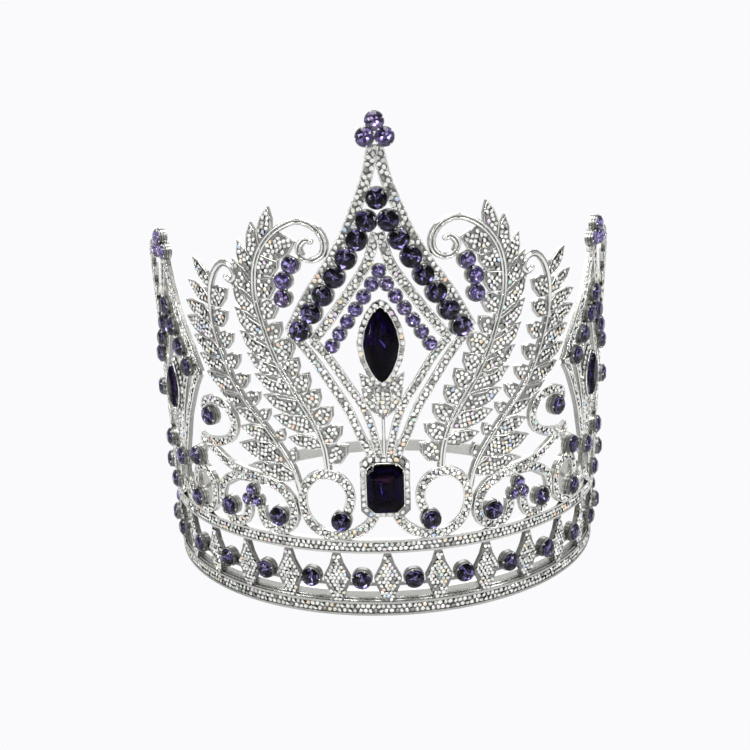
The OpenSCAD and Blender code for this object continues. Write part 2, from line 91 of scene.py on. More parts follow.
# %% Sizes
BAND_H = 5.5
GALLERY_H = 19.7
RAIL_FOOT = BAND_H + GALLERY_H
RAIL_H = 5.0
RAIL_TOP = RAIL_FOOT + RAIL_H
PITCH = math.radians(12)                  # from one lozenge of the gallery to the next
LOZENGES = 9                              # on each side of the middle one
SIDE_AT = math.radians(60) * MAP_RADIUS   # place of the side spires
SIDE_SHARE = 0.92                         # width of their bars and scrolls, as a share of the centre's
SPIRE_FOOT, SPIRE_H, SPIRE_W, BAR_W = 60.0, 110.0, 31.5, 3.8
SIDE_FOOT, SIDE_H, SIDE_W = 53.0, 80.0, 19.5
SCROLL_H, SIDE_SCROLL_H, SCROLL_W = 27.0, 20.3, 3.5
FROND_A_H, FROND_B_H, LEAF_PLUMP, INNER_PLUMP, STEM_W = 89.0, 75.0, 0.42, 0.75, 2.2
OUTER_LEAVES = 12       # of a frond, the first in its list
MAIN_D, LIGHT_D, TOP_D, SMALL_D, TREFOIL_D = 6.8, 5.6, 5.6, 4.3, 4.0
OCTAGON_L, OCTAGON_PLUMP = 18.0, 0.72
MARQUISE_L, SIDE_MARQUISE_L, MARQUISE_PLUMP = 26.0, 18.5, 0.46
CUP_TOP = 1.0           # stones stand this far off the wall's face
SIDES = (-1, 1)
print("main stones are", MAIN_D, "mm, and the centre spire ends at", SPIRE_FOOT + SPIRE_H, "mm")

# %% [markdown]
# The ornaments are short paths, in shares of a motif's own width and height, and a smooth curve
# is run through the points. Each frond is a stem with leaves: a leaf has its place along the stem and its
# tip.

# %% Paths of the spires and scrolls
OUTER_LOW = [(0.1, 0), (0.25, 0.09), (0.38, 0.18), (0.57, 0.27), (0.79, 0.365), (1, 0.432)]
OUTER_HIGH = [(1, 0.432), (0.77, 0.545), (0.55, 0.636), (0.35, 0.727), (0.21, 0.818), (0.09, 0.909),
              (0.02, 1)]
INNER_LOW = [(0.06, 0), (0.14, 0.09), (0.27, 0.18), (0.53, 0.27), (0.79, 0.355), (1, 0.403)]
INNER_HIGH = [(1, 0.403), (0.78, 0.46), (0.48, 0.545), (0.19, 0.636), (0.1, 0.685), (0.02, 0.74)]
SPRIG = [(0.155, 0, 0.31), (0.16, -0.065, 0.25), (0.16, 0.065, 0.25), (0.2, -0.07, 0.3), (0.2, 0.07, 0.3)]
SCROLL = [(0.12, 0.42), (0.24, 0.22), (0.41, 0.11), (0.63, 0.06), (0.85, 0.085), (1.04, 0.22),
          (1.13, 0.44), (1.12, 0.67), (1, 0.85), (0.8, 0.94), (0.6, 0.88), (0.48, 0.72), (0.47, 0.54),
          (0.52, 0.4)]
SCROLL_STONE = (0.6, 0.285)

# %% Paths of the fronds
FROND_A_FOOT = (20.5, 56.5)
STEM_A = [(0, 0), (0.01, 0.1), (0.045, 0.2), (0.095, 0.29), (0.15, 0.38), (0.2, 0.48), (0.24, 0.6),
          (0.265, 0.71), (0.26, 0.81), (0.23, 0.89), (0.175, 0.955), (0.105, 0.995), (0.05, 1),
          (-0.005, 0.97), (-0.03, 0.92), (-0.02, 0.875), (0.017, 0.855), (0.055, 0.865), (0.07, 0.9),
          (0.045, 0.93), (0.02, 0.925)]
LEAVES_A = [(9.2, 0.183, 1.055), (8.3, 0.264, 0.995), (7.5, 0.33, 0.925), (6.7, 0.362, 0.852),
            (6, 0.376, 0.755), (5.3, 0.37, 0.66), (4.6, 0.354, 0.565), (3.9, 0.326, 0.475),
            (3.2, 0.298, 0.39), (2.5, 0.264, 0.305), (1.8, 0.225, 0.22), (1.1, 0.163, 0.135),
            (9, 0.079, 0.925), (7.8, 0.15, 0.875), (7, 0.17, 0.79), (6.2, 0.17, 0.7), (5.5, 0.16, 0.61),
            (4.8, 0.115, 0.55), (4.1, 0.1, 0.47), (3.4, 0.06, 0.41), (2.7, 0.02, 0.345), (2, -0.03, 0.275),
            (1.3, -0.065, 0.195), (0.5, -0.085, 0.115)]
FROND_B_FOOT = (33.0, 55.0)
STEM_B = [(-0.02, -0.09), (0.01, 0.02), (0.09, 0.15), (0.185, 0.265), (0.26, 0.345), (0.325, 0.44),
          (0.373, 0.545), (0.413, 0.665), (0.433, 0.77), (0.427, 0.87), (0.39, 0.957), (0.333, 1.005),
          (0.28, 0.995), (0.257, 0.95), (0.28, 0.925), (0.31, 0.94)]
LEAVES_B = [(9.2, 0.532, 1.02), (8.4, 0.587, 0.905), (7.6, 0.627, 0.8), (6.8, 0.633, 0.72),
            (6, 0.587, 0.63), (5.2, 0.553, 0.54), (4.4, 0.507, 0.455), (3.6, 0.42, 0.37),
            (2.8, 0.335, 0.3), (2.1, 0.3, 0.205), (1.4, 0.32, 0.115), (0.7, 0.24, 0.02),
            (8.4, 0.31, 0.885), (7.4, 0.32, 0.775), (6.5, 0.295, 0.67), (5.6, 0.265, 0.57),
            (4.7, 0.22, 0.475), (3.8, 0.165, 0.395), (2.9, 0.115, 0.315), (2, 0.05, 0.22), (1.2, 0, 0.13)]

# %% Paths of the heart, in millimetres over the rail
HEART_MID = 51.9
HEART = [(51, 20.5), (44, 20), (38, 17), (35, 12), (35, 6.5), (37.8, 2.6), (42.3, 1.4), (46.6, 2.9),
         (48.7, 7), (48.4, 10.6)]
LONG_BAND = [(45, 21.3), (53, 22), (61, 23.5), (67, 26), (73, 29.5), (79, 32)]
OPEN_SCROLL = [(79, 30.5), (72, 31.2), (66, 32.4), (61, 35), (58.7, 39.2), (59.3, 43.7), (63, 47.2),
               (69, 48.2), (74.5, 46.6), (75.5, 43)]
HEART_STONES = [(40.4, 7.6), (2 * HEART_MID - 40.4, 7.6)]
HEART_TREFOIL = [(HEART_MID, 16.1), (HEART_MID + 2.3, 12.1), (HEART_MID - 2.3, 12.1)]
OPEN_SCROLL_STONE = (70.8, 41.9)
LIGHT_STONES = [(0.101, 0.837), (0.134, 0.775), (0.14, 0.706)]     # in shares of the inner frond

# %% [markdown]
# Small tools for flat paths. The curve is the one that the cast wall was drawn with, so the two agree.

# %% Curves and places
def at(path, i):
    """The point i of a path, held at its ends."""
    return path[max(0, min(len(path) - 1, i))]


def on_curve(path, t):
    """The point at step t of a smooth curve through a path, whose whole steps are its own points."""
    i = min(int(math.floor(t)), len(path) - 2)
    u = t - i
    a, b, c, d = at(path, i - 1), at(path, i), at(path, i + 1), at(path, i + 2)
    return tuple(0.5 * (2 * b[k] + (c[k] - a[k]) * u + (2 * a[k] - 5 * b[k] + 4 * c[k] - d[k]) * u * u
                        + (3 * b[k] - a[k] - 3 * c[k] + d[k]) * u ** 3) for k in (0, 1))


def smooth(path, steps):
    """The smooth curve through a path, in equal steps for each span."""
    return [on_curve(path, i / steps) for i in range(steps * (len(path) - 1))] + [tuple(path[-1])]


def beside(line, d):
    """The line moved d to its left."""
    moved = []
    for i, (x, y) in enumerate(line):
        dx, dy = (at(line, i + 1)[k] - at(line, i - 1)[k] for k in (0, 1))
        length = math.hypot(dx, dy)
        moved.append((x - d * dy / length, y + d * dx / length))
    return moved


def placed(shares, foot, width, height, flip=1):
    """A path drawn in shares, set on its foot at its size."""
    return [(foot[0] + flip * x * width, foot[1] + y * height) for x, y in shares]


def handed(path, side, far):
    """A path on one side of the crown. A far one is turned over about the side spire."""
    return [(side * (2 * SIDE_AT - x if far else x), y) for x, y in path]


def raised(path):
    """A path drawn over the rail, at its height over the table."""
    return [(x, y + RAIL_TOP) for x, y in path]


print("a scroll's curve has", len(smooth(SCROLL, 3)), "points")

# %% [markdown]
# Now every motif is listed once, flat: the bars with their widths, the plain stems, and the leaves. What
# is laid on them later only walks through these lists.

# %% List the bars, stems and leaves
bars = []               # (path, width)
stems = []              # (path, whether it is grooved)
leaves = []             # (root, tip, plumpness), those of the fronds
sprig_leaves = []       # the same for the sprigs


def list_spire(x, foot, half, height, inner_half, width):
    """The bars and the sprig of one spire."""
    for side in SIDES:
        for shares, reach, share in ((OUTER_LOW, half, 0.82), (OUTER_HIGH, half, 1.0),
                                     (INNER_LOW, inner_half, 0.76), (INNER_HIGH, inner_half, 0.9)):
            bars.append((placed(shares, (x, foot), reach, height, side), share * width))
    lean = inner_half / half / 0.74
    for root, aside, tip in SPRIG:
        top = (x + aside * height * lean, foot + tip * height)
        sprig_leaves.append(((x, foot + root * height), top, LEAF_PLUMP))


def list_frond(stem, leaf_table, foot, height, side, far, grooved):
    """One frond: its stem, and its leaves from the stem to their tips."""
    path = handed(placed(stem, foot, height, height), side, far)
    stems.append((path, grooved))
    for i, (step, x, y) in enumerate(leaf_table):
        tip = handed(placed([(x, y)], foot, height, height), side, far)[0]
        leaves.append((on_curve(path, step), tip, LEAF_PLUMP if i < OUTER_LEAVES else INNER_PLUMP))


list_spire(0, SPIRE_FOOT, SPIRE_W, SPIRE_H, 0.74 * SPIRE_W, BAR_W)
for side in SIDES:
    list_spire(side * SIDE_AT, SIDE_FOOT, SIDE_W, SIDE_H, 0.54 * SIDE_W, SIDE_SHARE * BAR_W)
    bars.append((placed(SCROLL, (0, RAIL_TOP), SCROLL_H, SCROLL_H, side), SCROLL_W))
    list_frond(STEM_A, LEAVES_A, FROND_A_FOOT, FROND_A_H, side, False, True)
    for hand in SIDES:
        side_scroll = placed(SCROLL, (side * SIDE_AT, RAIL_TOP), SIDE_SCROLL_H, SIDE_SCROLL_H, hand)
        bars.append((side_scroll, SIDE_SHARE * SCROLL_W))
    for far in (False, True):
        list_frond(STEM_B, LEAVES_B, FROND_B_FOOT, FROND_B_H, side, far, False)
        mirrored_heart = [(2 * HEART_MID - x, y) for x, y in HEART]
        for path in (HEART, mirrored_heart, LONG_BAND, OPEN_SCROLL):
            bars.append((handed(raised(path), side, far), SCROLL_W))
print(len(bars), "bars and scrolls,", len(stems), "stems and", len(leaves + sprig_leaves), "leaves")

# %% [markdown]
# The stones' places follow the same rules as their cups in the wall. The dictionary below names each
# stone, or each field of stones, as the frame names its solid.

# %% List the stones
def chevron(top, first, last, pairs, bow):
    """A top stone, and pairs of stones that run down both sides from it."""
    row = [(0, top)]
    for i in range(pairs):
        t = i / (pairs - 1)
        x = first[0] + (last[0] - first[0]) * t ** bow
        row += [(side * x, first[1] + (last[1] - first[1]) * t) for side in SIDES]
    return row


def shifted(places, x):
    """Places moved along the wall."""
    return [(px + x, py) for px, py in places]


def trefoil(tip):
    """Three stones round the tip of a spire."""
    return [(0, tip + 0.5 * TOP_D), (-3.1, tip - 0.4 * TOP_D), (3.1, tip - 0.4 * TOP_D)]


def scroll_stone(x, height, side):
    """The stone in the curl of a scroll."""
    return (x + side * SCROLL_STONE[0] * height, RAIL_TOP + SCROLL_STONE[1] * height)


outer_chevron = chevron(SPIRE_FOOT + 0.845 * SPIRE_H, (3.5, SPIRE_FOOT + 0.778 * SPIRE_H),
                        (0.87 * SPIRE_W, SPIRE_FOOT + 0.439 * SPIRE_H), 7, 1.1)
inner_chevron = chevron(SPIRE_FOOT + 0.626 * SPIRE_H, (2.45, SPIRE_FOOT + 0.585 * SPIRE_H),
                        (0.526 * SPIRE_W, SPIRE_FOOT + 0.391 * SPIRE_H), 6, 1)
side_chevron = chevron(SIDE_FOOT + 0.72 * SIDE_H, (4, SIDE_FOOT + 0.626 * SIDE_H),
                       (0.72 * SIDE_W, SIDE_FOOT + 0.45 * SIDE_H), 3, 1)
centre_trefoil = trefoil(SPIRE_FOOT + SPIRE_H + 4.7)
side_trefoil = trefoil(SIDE_FOOT + SIDE_H + 1)
octagon_at = (0, SPIRE_FOOT - OCTAGON_L / 2)
marquise_at = (0, SPIRE_FOOT + 0.395 * SPIRE_H)
SIDE_MARQUISE_Y = SIDE_FOOT + 0.322 * SIDE_H
gallery_places = [((k + 0.5) * PITCH * MAP_RADIUS, BAND_H + 0.49 * GALLERY_H)
                  for k in range(-LOZENGES, LOZENGES)]

# %% Name the round stones
dark_stones = {"gallery_stones": gallery_places}
light_stones = {"inner_chevron_stones": (inner_chevron, SMALL_D)}
for i, place in enumerate(outer_chevron):
    dark_stones[f"chevron_stone_{i + 1}"] = [place]
for i, place in enumerate(centre_trefoil):
    light_stones[f"top_stone_{i + 1}"] = ([place], TOP_D)
for side, hand in zip(SIDES, ("left", "right")):
    here = side * SIDE_AT
    near_heart, far_heart = (handed(raised(HEART_STONES), side, far) for far in (False, True))
    near_curl, far_curl = (handed(raised([OPEN_SCROLL_STONE]), side, far) for far in (False, True))
    over_scrolls = [(here + s * 0.7 * SIDE_SCROLL_H, RAIL_TOP + 1.15 * SIDE_SCROLL_H) for s in SIDES]
    in_scrolls = [scroll_stone(here, SIDE_SCROLL_H, s) for s in SIDES]
    dark_stones.update({
        hand + "_scroll_stone": [scroll_stone(0, SCROLL_H, side)],
        hand + "_heart_stone_1": [near_heart[0]],
        hand + "_heart_stone_2": [near_heart[1]],
        hand + "_curl_stone": near_curl,
        hand + "_rear_stones": far_heart + far_curl,
        hand + "_chevron_stones": shifted(side_chevron, here),
        hand + "_foot_stones": [(here, SIDE_FOOT - 0.53 * MAIN_D)] + over_scrolls + in_scrolls})
    light_stones[f"{hand}_top_stones"] = (shifted(side_trefoil, here), TOP_D)
    heart_trefoils = [p for far in (False, True) for p in handed(raised(HEART_TREFOIL), side, far)]
    light_stones[f"{hand}_trefoil_stones"] = (heart_trefoils, TREFOIL_D)
    beside_frond = handed(placed(LIGHT_STONES, FROND_A_FOOT, FROND_A_H, FROND_A_H), side, False)
    for i, place in enumerate(beside_frond):
        light_stones[f"{hand}_light_stone_{i + 1}"] = ([place], LIGHT_D)
round_stones = {node: (places, MAIN_D, "dark") for node, places in dark_stones.items()}
round_stones.update({node: (places, d, "light") for node, (places, d) in light_stones.items()})
all_cups = [(place, d) for places, d, look in round_stones.values() for place in places]
print(len(round_stones), "nodes hold", len(all_cups), "round stones")

# %% [markdown]
# Materials come next, because templates carry them. Colours are written as the hex values that a picture
# editor shows, and one function turns them to the linear values that Blender works in. One more small
# function adds any node, sets its values and links it.

# %% Colour and node helpers
def colour(hex_value):
    """An sRGB hex colour as linear red, green, blue and alpha."""
    parts = [int(hex_value[i:i + 2], 16) / 255 for i in (1, 3, 5)]
    return tuple(c / 12.92 if c <= 0.04045 else ((c + 0.055) / 1.055) ** 2.4 for c in parts) + (1.0,)


def add(tree, kind, values=None, links=None, **settings):
    """Adds a node to a tree, sets its own settings and its sockets' values, and links its inputs."""
    node = tree.nodes.new(kind)
    for name, value in settings.items():
        setattr(node, name, value)
    for socket, value in (values or {}).items():
        node.inputs[socket].default_value = value
    for socket, (source, output) in (links or {}).items():
        tree.links.new(source.outputs[output], node.inputs[socket])
    return node


def new_material(name):
    """An empty material and its node tree."""
    material = bpy.data.materials.new(name)
    material.use_nodes = True
    material.node_tree.nodes.clear()
    return material, material.node_tree


print("a mid grey of #808080 is", round(colour("#808080")[0], 3), "in linear light")

# %% [markdown]
# The wall is zinc alloy, cast in rubber moulds, tumbled and plated with rhodium: bright, very slightly
# warm and faintly wavy. Where stones crowd, a mask paints shade on the metal as a darker tone: on the
# plate between them, on the tops of their cups, and in the gallery. The rims, wires and claws are the same
# metal after a buffing wheel, so they are smoother and catch sharper lights. The narrow collars round the
# stones are painted darker, as shade.

# %% Rhodium plate
PAINTED_SHADE_TONE = "#8c8c89"
# Where the painted shade falls: near the wall's face, beyond a cup's top, and inside the gallery.
FACE_DEPTH = 0.26       # what lies this near to the wall's own face is bed
CUP_RISE_SEEN = 0.62    # what stands further off the wall than this is the top of a cup
GALLERY_DEPTH = 1.45    # how far in the gallery's bed reaches
GALLERY_EDGE = 0.2      # strip of the gallery's height, at either end, that keeps its shine


def maths(tree, operation, *inputs):
    """A math node's result. Each input is a number, or a node and its output."""
    values = {i: one for i, one in enumerate(inputs) if not isinstance(one, tuple)}
    links = {i: one for i, one in enumerate(inputs) if isinstance(one, tuple)}
    return add(tree, "ShaderNodeMath", values, links, operation=operation), 0


def painted_shade_mask(tree, where):
    """One where shade is painted: the wall's own face, the tops of the cups, and the gallery. Nought
    elsewhere.
    """
    split = add(tree, "ShaderNodeSeparateXYZ", links={"Vector": (where, "Object")})
    flat = add(tree, "ShaderNodeVectorMath", {1: (1, 1, 0), 2: (0, -axis_y, 0)}, {0: (where, "Object")},
               operation="MULTIPLY_ADD")
    radius = add(tree, "ShaderNodeVectorMath", links={0: (flat, 0)}, operation="LENGTH")
    wall = maths(tree, "MULTIPLY_ADD", (split, "Z"), FLARE, WALL_RADIUS * MM)
    off_wall = maths(tree, "SUBTRACT", (radius, "Value"), wall)
    face = maths(tree, "COMPARE", off_wall, 0.0, FACE_DEPTH * MM)
    middle, half = (BAND_H + RAIL_FOOT) / 2, GALLERY_H / 2 - GALLERY_EDGE
    gallery = maths(tree, "COMPARE", (split, "Z"), middle * MM, half * MM)
    outside = maths(tree, "GREATER_THAN", off_wall, -GALLERY_DEPTH * MM)
    cup_top = maths(tree, "GREATER_THAN", off_wall, CUP_RISE_SEEN * MM)
    return maths(tree, "MAXIMUM", maths(tree, "MAXIMUM", face, cup_top),
                 maths(tree, "MULTIPLY", gallery, outside))


def rhodium(name, tone, roughness, wave, grain_mm, shade_tone=""):
    """Rhodium plate over cast zinc: a grey metal, with a bump whose grain is given in millimetres."""
    material, tree = new_material(name)
    where = add(tree, "ShaderNodeTexCoord")
    grain = add(tree, "ShaderNodeTexNoise", {"Scale": 1 / (grain_mm * MM), "Detail": 1.0},
                {"Vector": (where, "Object")})
    bump = add(tree, "ShaderNodeBump", {"Strength": wave, "Distance": 0.0001}, {"Height": (grain, "Fac")})
    smear = add(tree, "ShaderNodeMapRange", {"To Min": roughness * 0.75, "To Max": roughness * 1.3},
                {"Value": (grain, "Fac")})
    body = add(tree, "ShaderNodeBsdfPrincipled", {"Base Color": colour(tone), "Metallic": 1.0},
               {"Roughness": (smear, "Result"), "Normal": (bump, "Normal")})
    # where the mask is one, the metal takes the darker tone of painted shade
    if shade_tone:
        tones = add(tree, "ShaderNodeMix", {6: colour(tone), 7: colour(shade_tone)},
                    {"Factor": painted_shade_mask(tree, where)}, data_type="RGBA")
        tree.links.new(tones.outputs[2], body.inputs["Base Color"])
    add(tree, "ShaderNodeOutputMaterial", links={"Surface": (body, "BSDF")})
    return material


cast_rhodium = rhodium("cast_rhodium_plate", "#cbcbc6", 0.26, 0.3, 2.6, PAINTED_SHADE_TONE)
buffed_rhodium = rhodium("buffed_rhodium_plate", "#edede8", 0.17, 0.12, 2.5)
# the collars' darker plate is painted shade
shade_painted_rhodium = rhodium("shade_painted_rhodium_plate", "#92928f", 0.3, 0.2, 1.0)
print("made", cast_rhodium.name + ",", buffed_rhodium.name, "and", shade_painted_rhodium.name)

# %% [markdown]
# The clear crystals are lead glass, machine-cut, with silver foil behind them. Each facet would mirror a
# different piece of the foil, and here that light and shade is painted: every facet carries a number, and
# a ramp of flat tones turns it into a painted brightness, white on the table and on most crown facets,
# nearly black on the girdle and on one side of the crown. Each stone carries one number more, which paints
# a few stones with flashes of yellow, orange or blue, as the fire of cut glass, and makes some greyer.

# %% Clear crystal
def ramp_of(tree, attribute, tones):
    """Flat tones that follow one of a stone's numbers; tones are (from, hex colour)."""
    number = add(tree, "ShaderNodeAttribute", attribute_name=attribute)
    ramp = add(tree, "ShaderNodeValToRGB", links={"Fac": (number, "Fac")})
    ramp.color_ramp.interpolation = "CONSTANT"
    stops = ramp.color_ramp.elements
    stops[0].color = colour(tones[0][1])
    stops.remove(stops[1])
    for start, tone in tones[1:]:
        stops.new(start).color = colour(tone)
    return ramp


def foiled(name, tints, facets, **values):
    """Foiled glass. A stone's own number picks its tint, and each facet's number picks a painted light or
    shade.
    """
    material, tree = new_material(name)
    blend = add(tree, "ShaderNodeMix", {"Factor": 1.0}, {6: (ramp_of(tree, "tint", tints), "Color"),
                7: (ramp_of(tree, "facet", facets), "Color")}, data_type="RGBA", blend_type="MULTIPLY")
    body = add(tree, "ShaderNodeBsdfPrincipled", values, {"Base Color": (blend, 2)})
    add(tree, "ShaderNodeOutputMaterial", links={"Surface": (body, "BSDF")})
    return material


CLEAR_TONES_AND_PAINTED_FIRE = [(0.0, "#fefffa"), (0.3, "#dedfd9"), (0.5, "#fefffa"), (0.76, "#a0a09b"),
               (0.84, "#fefffa"), (0.91, "#fff4da"), (0.93, "#ffe9cc"), (0.95, "#d3e4ff"),
               (0.967, "#f6e4f7"), (0.98, "#e0f4ea"), (0.99, "#ffdcc0")]
CLEAR_FACET_PAINTED_LIGHT = [(0.0, "#090908"), (0.3, "#92928d"), (0.42, "#ffffff")]
clear_crystal = foiled("foiled_clear_crystal", CLEAR_TONES_AND_PAINTED_FIRE, CLEAR_FACET_PAINTED_LIGHT,
                       Metallic=0.25, Roughness=0.1, IOR=1.58)
print("made", clear_crystal.name, "with", len(CLEAR_TONES_AND_PAINTED_FIRE), "tints")

# %% [markdown]
# The violet stones are the same glass, coloured through. They are large enough that the eye looks into
# them, so they are real glass over real foil: light goes in by the crown, meets the foiled pavilion and
# comes out. The octagon and the marquises are the deepest, then come the large round stones, and the small
# ones are pale. The deeper a stone, the more its face is bloomed, as a lens is. A low index stands for
# that, and sends little light back.

# %% Violet crystal and its foil
def violet_glass(name, tone, ior):
    """Glass that is coloured through."""
    material, tree = new_material(name)
    body = add(tree, "ShaderNodeBsdfPrincipled",
               {"Base Color": colour(tone), "Roughness": 0.01, "IOR": ior, "Transmission Weight": 1.0})
    add(tree, "ShaderNodeOutputMaterial", links={"Surface": (body, "BSDF")})
    return material


GLASS = {"deep": violet_glass("amethyst_glass", "#9a80b8", 1.18),
         "dark": violet_glass("tanzanite_glass", "#aba6d0", 1.38),
         "light": violet_glass("violet_glass", "#dccdfa", 1.56)}
FOIL_TINTS = {"deep": [(0.0, "#ffffff")],
              "dark": [(0.0, "#ccc4e8"), (0.4, "#b4aed8"), (0.75, "#e2d2f6")],
              "light": [(0.0, "#dcd4fa"), (0.4, "#cfc6f4"), (0.75, "#ece2fa")]}
# Each facet of the foil has a painted brightness, from nearly black to white; on the deep stones most are
# nearly black, with a few painted blue and dull rose glints.
FOIL_FACET_PAINTED_LIGHT = {"deep": [(0.0, "#0d0614"), (0.66, "#20123c"), (0.88, "#6a78c8"), (0.9, "#0d0614"),
                        (0.975, "#54303c")],
               "dark": [(0.0, "#181818"), (0.5, "#7c7c7c"), (0.72, "#ffffff")],
               "light": [(0.0, "#343434"), (0.3, "#b4b4b4"), (0.5, "#ffffff")]}
FOIL = {look: foiled(look + "_violet_foil", FOIL_TINTS[look], FOIL_FACET_PAINTED_LIGHT[look],
                     Metallic=1.0, Roughness=0.12) for look in GLASS}
print("made", [m.name for m in (*GLASS.values(), *FOIL.values())])

# %% [markdown]
# A cut stone is the convex body over a few rings of points, which is how a cutter thinks too: a ring for
# the girdle, one for the table, one between them for the star and kite facets, and a small one for the
# culet. The convex hull operator lays the facets. Stones are made at a diameter of one and sized where
# they are set.

# %% Cut stones from rings
def added(name, data):
    """A new object in the scene, the only selected and the active one."""
    obj = bpy.data.objects.new(name, data)
    bpy.context.collection.objects.link(obj)
    bpy.ops.object.select_all(action="DESELECT")
    obj.select_set(True)
    bpy.context.view_layer.objects.active = obj
    return obj


def named(name):
    """The object that an operator has just added, with its name."""
    obj = bpy.context.active_object
    obj.name = name
    return obj


def ring(sides, diameter, height, turn=0.0):
    """Adds a ring of points to what is being edited, or starts a new object with it."""
    bpy.ops.mesh.primitive_circle_add(vertices=sides, radius=diameter / 2, fill_type="NOTHING",
                                      location=(0, 0, height), rotation=(0, 0, turn))


def close_stone():
    """Lays facets over the points that are being edited, all facing out."""
    bpy.ops.mesh.select_all(action="SELECT")
    bpy.ops.mesh.convex_hull(delete_unused=True, use_existing_faces=False, join_triangles=True)
    bpy.ops.mesh.select_all(action="SELECT")
    bpy.ops.mesh.normals_make_consistent(inside=False)
    bpy.ops.object.mode_set(mode="OBJECT")
    bpy.ops.object.transform_apply(location=True, rotation=True)


def finish_stone(stone, materials, foil_top=-1.0, in_turn=False):
    """Gives a stone its materials, the second one below foil_top, and each facet a number.

    The table has 1. In turn, the crown's facets count round from 0 to 1, and the girdle's have 0."""
    for material in materials:
        stone.data.materials.append(material)
    numbers = stone.data.attributes.new("facet", "FLOAT", "FACE").data
    for i, face in enumerate(stone.data.polygons):
        low = all(stone.data.vertices[v].co.z <= foil_top + 1e-6 for v in face.vertices)
        face.material_index = 1 if low else 0
        number = (0.5 + GOLDEN * i) % 1.0
        # Counted in turn, the crown facets on one side of a clear crystal take the dark end of its ramp, a
        # painted shade; the table's 1 takes the white, a painted highlight.
        if in_turn:
            number = math.atan2(face.normal.y, face.normal.x) / math.tau % 1.0
            number *= face.normal.z > STEEP
        numbers[i].value = 1.0 if face.normal.z > LEVEL else number
    return stone


def cut(name, rings, materials, foil_top=-1.0, in_turn=False):
    """The convex stone over some rings. Facets wholly below foil_top take the second material."""
    bpy.ops.object.select_all(action="DESELECT")
    ring(*rings[0])
    stone = named(name)
    bpy.ops.object.mode_set(mode="EDIT")
    for one in rings[1:]:
        ring(*one)
    close_stone()
    return finish_stone(stone, materials, foil_top, in_turn)


GOLDEN = 0.618          # spreads the facets' numbers evenly
STEEP, LEVEL = 0.1, 0.99            # normals of the crown rise over the first, the table's over the second
HALF_STEP = math.pi / 8
PAVE_RINGS = [(8, 1.0, 0.0), (8, 1.0, 0.12), (8, 0.66, 0.29)]       # points, diameter, height, any turn
pave_cut = cut("pave_cut", PAVE_RINGS, [clear_crystal], in_turn=True)
GIRDLE = 0.14
BRILLIANT = [(8, 0.22, 0.002), (8, 0.62, 0.06, HALF_STEP), (16, 1.0, GIRDLE), (16, 1.0, GIRDLE + 0.02),
             (8, 0.82, 0.24, HALF_STEP), (8, 0.56, 0.318)]
brilliant = {look: cut(look + "_brilliant", BRILLIANT, [GLASS[look], FOIL[look]], GIRDLE)
             for look in ("dark", "light")}
print("a round brilliant has", len(brilliant["dark"].data.polygons), "facets")

# %% [markdown]
# The octagon is step-cut: long parallel facets like the steps of a stair, so its rings are octagons with
# short corners. The marquise has pointed ends, and its outline follows one formula. Each of their rings is
# the whole outline at its own share and height, and the hull lays the steps from one ring to the next.

# %% Outlines of the octagon and marquise stones
def octagon(length, edge=0.0):
    """Corners of the octagon outline in millimetres, grown on all sides by edge."""
    a, b, c = length * OCTAGON_PLUMP / 2 + edge, length / 2 + edge, 0.14 * length
    return [(a, b - c), (a - c, b), (c - a, b), (-a, b - c),
            (-a, c - b), (c - a, -b), (a - c, -b), (a, c - b)]


def marquise(length, edge=0.0):
    """The sixteen points of the marquise outline."""
    a, b = length * MARQUISE_PLUMP / 2 + edge, length / 2 + edge
    turns = [math.radians(22.5 * k) for k in range(16)]
    return [(a * math.cos(u) * (1 - 0.28 * abs(math.sin(u)) ** 1.5), b * math.sin(u)) for u in turns]


def loop(outline, scale, height):
    """Adds a closed loop of points, in the shape of an outline, to what is being edited."""
    bpy.ops.mesh.select_all(action="DESELECT")
    bpy.ops.mesh.primitive_circle_add(vertices=len(outline), radius=1, fill_type="NOTHING")
    mesh = bmesh.from_edit_mesh(bpy.context.active_object.data)
    fresh = [v for v in mesh.verts if v.select]
    for v, (x, y) in zip(fresh, outline):
        v.co = (x * scale * MM, y * scale * MM, height * MM)
    bmesh.update_edit_mesh(bpy.context.active_object.data)


def step_cut(name, outline, steps, foil_top):
    """The convex stone over loops of one outline; steps are (share of the outline, height in mm)."""
    bpy.ops.object.select_all(action="DESELECT")
    bpy.ops.mesh.primitive_circle_add(vertices=3, radius=0.001, fill_type="NOTHING")
    stone = named(name)
    bpy.ops.object.mode_set(mode="EDIT")
    bpy.ops.mesh.select_all(action="SELECT")
    bpy.ops.mesh.delete(type="VERT")        # leaves an empty mesh for the loops
    for share, height in steps:
        loop(outline, share, height)
    close_stone()
    return finish_stone(stone, [GLASS["deep"], FOIL["deep"]], foil_top * MM)


OCTAGON_GIRDLE, MARQUISE_GIRDLE = 1.3, 1.2      # heights up to which the foil reaches
RISE, SIDE_RISE = 3.2, 2.6                      # of the centre marquise, and of the side spires' ones
OCTAGON_STEPS = [(0.25, 0.02), (0.45, 0.2), (0.64, 0.45), (0.8, 0.78), (0.92, 1.08), (1.0, OCTAGON_GIRDLE),
                 (1.0, 1.5), (0.88, 2.3), (0.76, 2.85), (0.64, 3.18)]
MARQUISE_STEPS = [(0.25, 0.02), (0.7, 0.55), (1.0, MARQUISE_GIRDLE), (1.0, 1.35), (0.84, 2.35),
                  (0.64, 3.05), (0.5, 3.18)]
SIDE_STEPS = [(share, height * SIDE_RISE / RISE) for share, height in MARQUISE_STEPS]
octagon_cut = step_cut("octagon_cut", octagon(OCTAGON_L), OCTAGON_STEPS, OCTAGON_GIRDLE)
marquise_cut = step_cut("marquise_cut", marquise(MARQUISE_L), MARQUISE_STEPS, MARQUISE_GIRDLE)
